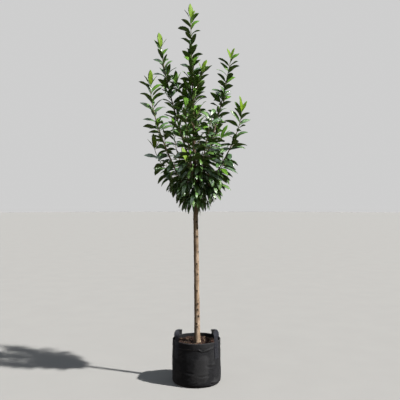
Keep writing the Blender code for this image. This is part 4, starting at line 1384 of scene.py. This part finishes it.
def toneFor(chance, height, fromTip):
    # 0 old, 1 mature, 2 mid green, 3 fresh. Leaves freshen towards the tips and the top
    (most, fade), (more, *top) = crownValues["freshTips"], crownValues["freshTop"]
    fresh = most * math.exp(-fromTip / fade) * ramped(height, *crownValues["freshFrom"])
    fresh += more * ramped(height, *top)
    if chance.random() < fresh:
        return 3
    draw = chance.random()
    mid, mature = crownValues["toneDraws"]
    return 2 if draw < mid else 1 if draw < mature else 0


def growLeaves(crown, stem, chance, first, step, turn):
    # Leaves follow a golden spiral along the stem, narrowed to its outer side low in the crown,
    # and a tip that has new leaves ends in two or three of them
    values = crownValues
    distance = first
    bright = values["brightTips"].get(stem.name)
    kind = bright if bright is not None else values["greenTips"].get(stem.name)
    tuft = kind is not None
    last = stem.length - (values["tuft"] + values["tuftGap"] if tuft else values["tipFree"])
    shorter, reach = values["tipShorter"]
    shade, fade = values["sunnyBelow"]
    second = False
    while distance < last:
        root = stem.at(distance)
        height = root[2]
        fromTip = stem.length - distance
        turn += values["goldenTurn"]
        outward = math.degrees(outwardOf(root))
        second = not second
        opened = atHeight(height, values["spirals"])
        opened *= atHeight(height, values["spiralPairs"]) if second else 1.0
        heading = outward + opened * ((turn - outward + 180) % 360 - 180)
        heading += either(chance, values["headingSpread"])
        pitch = atHeight(height, values["leafPitches"])
        pitch += atHeight(height, values["tipLifts"]) * math.exp(-fromTip / values["tipLiftFade"])
        pitch += either(chance, values["pitchSpread"])
        if tuft and fromTip < values["pairReach"]:
            heading = (180 if second else 0) + either(chance, values["pairSpread"])
            pitch += values["pairPitch"]
        length = atHeight(height, values["leafLengths"]) * chance.uniform(*values["lengthSpread"])
        length *= 1 - shorter * math.exp(-fromTip / reach)
        length *= 1 + values["sunnySide"] * root[0] * float(np.clip((shade - height) / fade, 0, 1))
        arch = values["arch"] * chance.uniform(*values["archSpread"])
        crown.add(chance, stem, distance, heading, pitch, length, arch, toneFor(chance, height, fromTip))
        distance += atHeight(height, values["leafSteps"]) * step
    near, apart = values["newPlaces"]
    for index, (heading, pitch, share, tone) in enumerate(values["newLeaves"][kind] if tuft else ()):
        distance = stem.length - values["tuft"] * (near + apart * index)
        length = values["newLeafLength"] * share * chance.uniform(*values["newLengthSpread"])
        heading += either(chance, values["newHeading"])
        pitch += either(chance, values["newPitch"])
        crown.add(chance, stem, distance, heading, pitch, length, values["newArch"],
                  3 if bright is None else tone)
    return turn


def growSideTwigs(crown, stem, chance, first, turn):
    # Short twigs to either side that leave the stem and turn upward, thinner towards the top
    values = crownValues
    across = stem.route[-1] - stem.route[0]
    heading = math.degrees(math.atan2(across[1], across[0]))
    side = 1
    distance = first + values["twigFirst"]
    share = np.linspace(0, 1, 30)
    rise = np.radians(values["twigRise"] + values["twigCurve"] * share)[:-1]
    while distance < stem.length - values["twigLast"]:
        root = stem.at(distance)
        length = atHeight(root[2], values["twigLengths"])
        length = length * chance.uniform(*values["twigLengthSpread"])
        turned = math.radians(heading + side * values["twigTurn"] + either(chance, values["twigSpread"]))
        out, up = (np.concatenate([[0], np.cumsum(part)]) * (length / len(rise))
                   for part in (np.cos(rise), np.sin(rise)))
        route = root + np.stack([out * math.cos(turned), out * math.sin(turned), up], axis=1)
        twig = Stem(f"{stem.name}_twig", route, values["twigRadius"], "twig")
        crown.twigs.append(twig)
        turn = growLeaves(crown, twig, chance, values["twigBare"], 1, turn)
        side = -side
        spread = chance.uniform(*values["twigStepSpread"])
        distance += atHeight(root[2], values["twigSteps"]) * spread


def growCrown():
    # Each stem has its own chance, so a change to one leaves the others as they are
    stems = allStems()
    crown = Crown(stems)
    for stem in stems:
        chance = random.Random(crownValues["seed"] + stem.name)
        turn = chance.uniform(0, 360)
        clear = stem.bare or (0.0 if stem.name == "leader" else stem.leavesTrunk())
        first = clear * (crownValues["boughBare"] if stem.bare else 1) + crownValues["firstLeaf"]
        step = crownValues["shortStep"] if stem.kind == "short" else 1
        turn = growLeaves(crown, stem, chance, first, step, turn)
        if stem.kind == "long":
            growSideTwigs(crown, stem, chance, first, turn)
    return stems, crown


leafValues = dict(
    shares=(0.0, 0.075, 0.17, 0.32, 0.50, 0.68, 0.84, 0.945),  # rows from the root to the tip
    outline=(0.0, 0.03, 0.46, 0.86, 1.0, 0.93, 0.62, 0.24),  # half width at each row
    section=((-1, 0), (-0.55, 1), (0, 1), (0.55, 1), (1, 0), (0.55, -1), (0, -1), (-0.55, -1)),
    stalkRadius=0.00115,
    thickness=0.00045,
    fold=0.34,  # how far the halves rise from the midrib, of the half width
    curl=0.20,  # and how far their edges turn down again
    wave=0.13,
    waveTurn=11,  # from root to tip, in radians
    rib=0.0005,  # how far the midrib stands out below
)


def makeLeaves(name, rows, values, materials, slotOf):
    # Each leaf is a flattened tube: eight points round at each share of its length, with the
    # outline as half width, and a tip point. Across a row the height is fold * |t| - curl * t^2
    # + wave * t^2 * sin, times the half width, and the two faces are thickness * sqrt(1 - t^2) apart
    data = np.array(rows)
    heading, pitch, length, arch, roll, twist, phase, width, wood = (data[:, k, None] for k in range(3, 12))
    share = np.array(values["shares"])[None]
    start = -0.5 * wood / length
    alongShare = np.concatenate([start + (1 - start) * share, np.ones_like(length)], axis=1)
    middle, across, upward = leafFrame(data[:, None, :3], heading, pitch, length, arch, roll, twist,
                                       alongShare)
    outline = np.array(values["outline"])[None] * width * length / 2
    half = np.maximum(outline, values["stalkRadius"])[..., None]
    blade = np.clip(outline / values["stalkRadius"] / 3, 0, 1)[..., None]
    thick = values["stalkRadius"] * (1 - blade) + values["thickness"] * blade

    t, face = np.array(values["section"]).T
    wave = np.sin(share * values["waveTurn"] + phase)[..., None] * t * np.abs(t)
    wave = wave * np.sign(np.sin(phase * 7))[..., None]
    lift = values["fold"] * np.abs(t) - values["curl"] * t**2 + values["wave"] * wave
    offset = lift * half * blade + face * np.sqrt(1 - t**2 * 0.98) * thick
    offset = offset - values["rib"] * ((face < 0) & (t == 0)) * blade
    ring = (middle[:, :-1, None] + across[:, :-1, None] * (t * half)[..., None]
            + upward[:, :-1, None] * offset[..., None])
    count, levels, sides = ring.shape[:3]
    points = np.concatenate([ring.reshape(count, -1, 3), middle[:, :1], middle[:, -1:]], axis=1)

    # The parts of a leaf: 0 its upper face, 1 its lower face and 2 its stalk
    under = np.repeat([0, 1], sides // 2)
    stalk = np.full(sides, 2)
    parts = [np.concatenate([stalk, np.tile(under, levels - 2)]), np.concatenate([stalk, under])]
    tones = data[:, 12].astype(int)[:, None]
    slots = np.concatenate([slotOf[tones, part[None]].ravel() for part in parts])
    v = np.concatenate([np.repeat(values["shares"], sides), [0.0, 1.0]])
    u = np.concatenate([np.tile((t + 1) / 2, levels), [0.5, 0.5]])
    faces = [repeatFaces(part, count, points.shape[1]) for part in closedFaces(levels, sides, inward=True)]
    return newPiece(name, points.reshape(-1, 3), faces, materials, slots,
                    uv=np.tile(np.stack([u, v], axis=1), (count, 1)))


def leafFinish(name, colour, rib, roughness, veins=0.00008, gloss=0.0):
    # Blade with a paler midrib and side veins along v, a little mottled, and glossy if it is dark
    coat = {"Coat Weight": gloss, "Coat Roughness": 0.27}
    finish = Finish(name, colour, roughness, 0.10 + gloss, coat)
    split = finish.node("SeparateXYZ", {0: finish.place(uv=True)})
    fromRib = finish.math("ABSOLUTE", finish.math("SUBTRACT", split.outputs["X"], 0.5))
    ribShare = finish.remap(fromRib, 0.045, 0.012, (0.0, 0.75))
    slanted = finish.math("SUBTRACT", split.outputs["Y"], finish.math("MULTIPLY", fromRib, 0.35))
    vein = finish.math("SINE", finish.math("MULTIPLY", slanted, 78.0))
    mottle = finish.noise(55, 3)
    base = finish.ramp(mottle, (0.3, shaded(colour, 0.82)), (0.7, shaded(colour, 1.18)))
    base = finish.cover(base, (finish.remap(vein, 0.75, 1.0, (0.0, 0.12)), rib), (ribShare, rib))
    return finish.done(base, finish.remap(mottle, 0.25, 0.75, (roughness - 0.05, roughness + 0.08)),
                       (ribShare, 0.0008), (vein, veins), (mottle, 0.0006))


def twigFinish(name, low, high, roughness):
    # Streaks along the limb between two tones, with pale specks
    finish = Finish(name, high, roughness, 0.4)
    streak = finish.noise(150, 5, (1, 1, 0.25))
    speck = finish.remap(finish.noise(520, 2), 0.62, 0.70, (0.0, 0.6))
    base = finish.cover(finish.ramp(streak, (0.3, low), (0.7, high)), (speck, (0.200, 0.160, 0.110)))
    return finish.done(base, finish.remap(streak, 0.3, 0.7, (roughness - 0.08, roughness + 0.08)),
                       (streak, 0.0007), (speck, 0.0003))


def limbPart(stem, start, stop, step, sides, slot, collared):
    # The limb's own radius, wider by collar * e^(-d / collarReach) where it leaves the stem, and
    # with a faint swelling at every leaf
    values = crownValues
    run = np.linspace(start, stop, max(4, round((stop - start) / step) + 1))
    radius = stem.radius(run)
    if collared:
        clear, reach = values["twigCollar"]
        if stem.kind != "twig":
            clear, reach = stem.leavesTrunk(), values["collarReach"]
        radius = radius * (1 + values["collar"] * np.exp(-np.maximum(run - clear, 0) / reach))
    pitch = atHeight(stem.at((start + stop) / 2)[2], values["leafSteps"])
    nodes = values["nodeSwelling"] * np.cos(run / pitch * math.tau) ** 8
    return tubePart(stem.at(run), radius + nodes, sides, slot, values["barkRough"], len(stem.name))


def makeLimbs(name, parts, finishes, *nodes):
    # Limbs joined as one piece
    points, faces, slots, uv = joinParts(parts)
    dress(newPiece(name, points, faces, finishes, slots, uv=uv), "bough_bark", *nodes)


stems, crown = growCrown()
print("crown grown:", len(crown.leaves), "leaves,", len(crown.twigs), "side twigs")

makeLimbs("boughBark",
          [limbPart(stem, 0.0, stem.bare, crownValues["boughStep"], crownValues["boughSides"], 0, True)
           for stem in stems if stem.bare],
          [twigFinish("boughBark", (0.062, 0.040, 0.024), (0.150, 0.110, 0.070), 0.75)],
          *[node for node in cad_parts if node.startswith("bough_")])

twigParts = []
step = crownValues["limbStep"]
for stem in stems + crown.twigs:
    start = max(stem.bare - 0.001, 0.0)
    sides = 7 if stem.kind in ("long", "upright") else 6
    green = max(start, stem.length - crownValues["greenLength"][stem.kind != "long"])
    brown = green - start > 0.02
    if brown:
        twigParts.append(limbPart(stem, start, green + 0.001, step, sides, 0, not stem.bare))
    twigParts.append(limbPart(stem, green, stem.length, step, sides, 1, not brown))
makeLimbs("leafyTwigs", twigParts, [
    twigFinish("brownTwig", (0.085, 0.055, 0.036), (0.200, 0.145, 0.100), 0.65),
    twigFinish("greenTwig", (0.090, 0.082, 0.038), (0.215, 0.185, 0.105), 0.50),
])

leafMaterials = [
    leafFinish("oldLeaf", (0.050, 0.112, 0.040), (0.120, 0.180, 0.066), 0.33, gloss=0.4),
    leafFinish("matureLeaf", (0.068, 0.154, 0.038), (0.155, 0.238, 0.066), 0.31, gloss=0.4),
    leafFinish("midLeaf", (0.086, 0.186, 0.033), (0.180, 0.280, 0.064), 0.32, gloss=0.4),
    leafFinish("freshLeaf", (0.088, 0.210, 0.019), (0.205, 0.330, 0.058), 0.34),
    leafFinish("newLeaf", (0.150, 0.265, 0.016), (0.230, 0.350, 0.050), 0.42),
    leafFinish("leafUnderside", (0.080, 0.140, 0.036), (0.145, 0.205, 0.062), 0.60, 0.00025),
    leafFinish("freshUnderside", (0.092, 0.185, 0.028), (0.165, 0.260, 0.065), 0.55, 0.00025),
    leafFinish("newUnderside", (0.145, 0.250, 0.022), (0.225, 0.330, 0.060), 0.55, 0.00025),
]
stalk = (0.150, 0.190, 0.060)
leafMaterials.append(grainFinish("leafStalk", (shaded(stalk, 0.75), shaded(stalk, 1.2), stalk), 0.5, 0.4,
                                 (120, 3)))
slotOf = np.array([[0, 5, 8], [1, 5, 8], [2, 5, 8], [3, 6, 8], [4, 7, 8]])  # by tone and part

massNodes = [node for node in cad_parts
             if not node.startswith(("bough_", "handle_", "pot", "soil", "trunk"))]
for name, fresh, nodes in (("matureLeaves", False, massNodes), ("freshLeaves", True, [])):
    rows = [leaf for leaf in crown.leaves if (leaf[-1] >= 3) == fresh]
    dress(makeLeaves(name, rows, leafValues, leafMaterials, slotOf), "foliage", *nodes)
print("crown made")
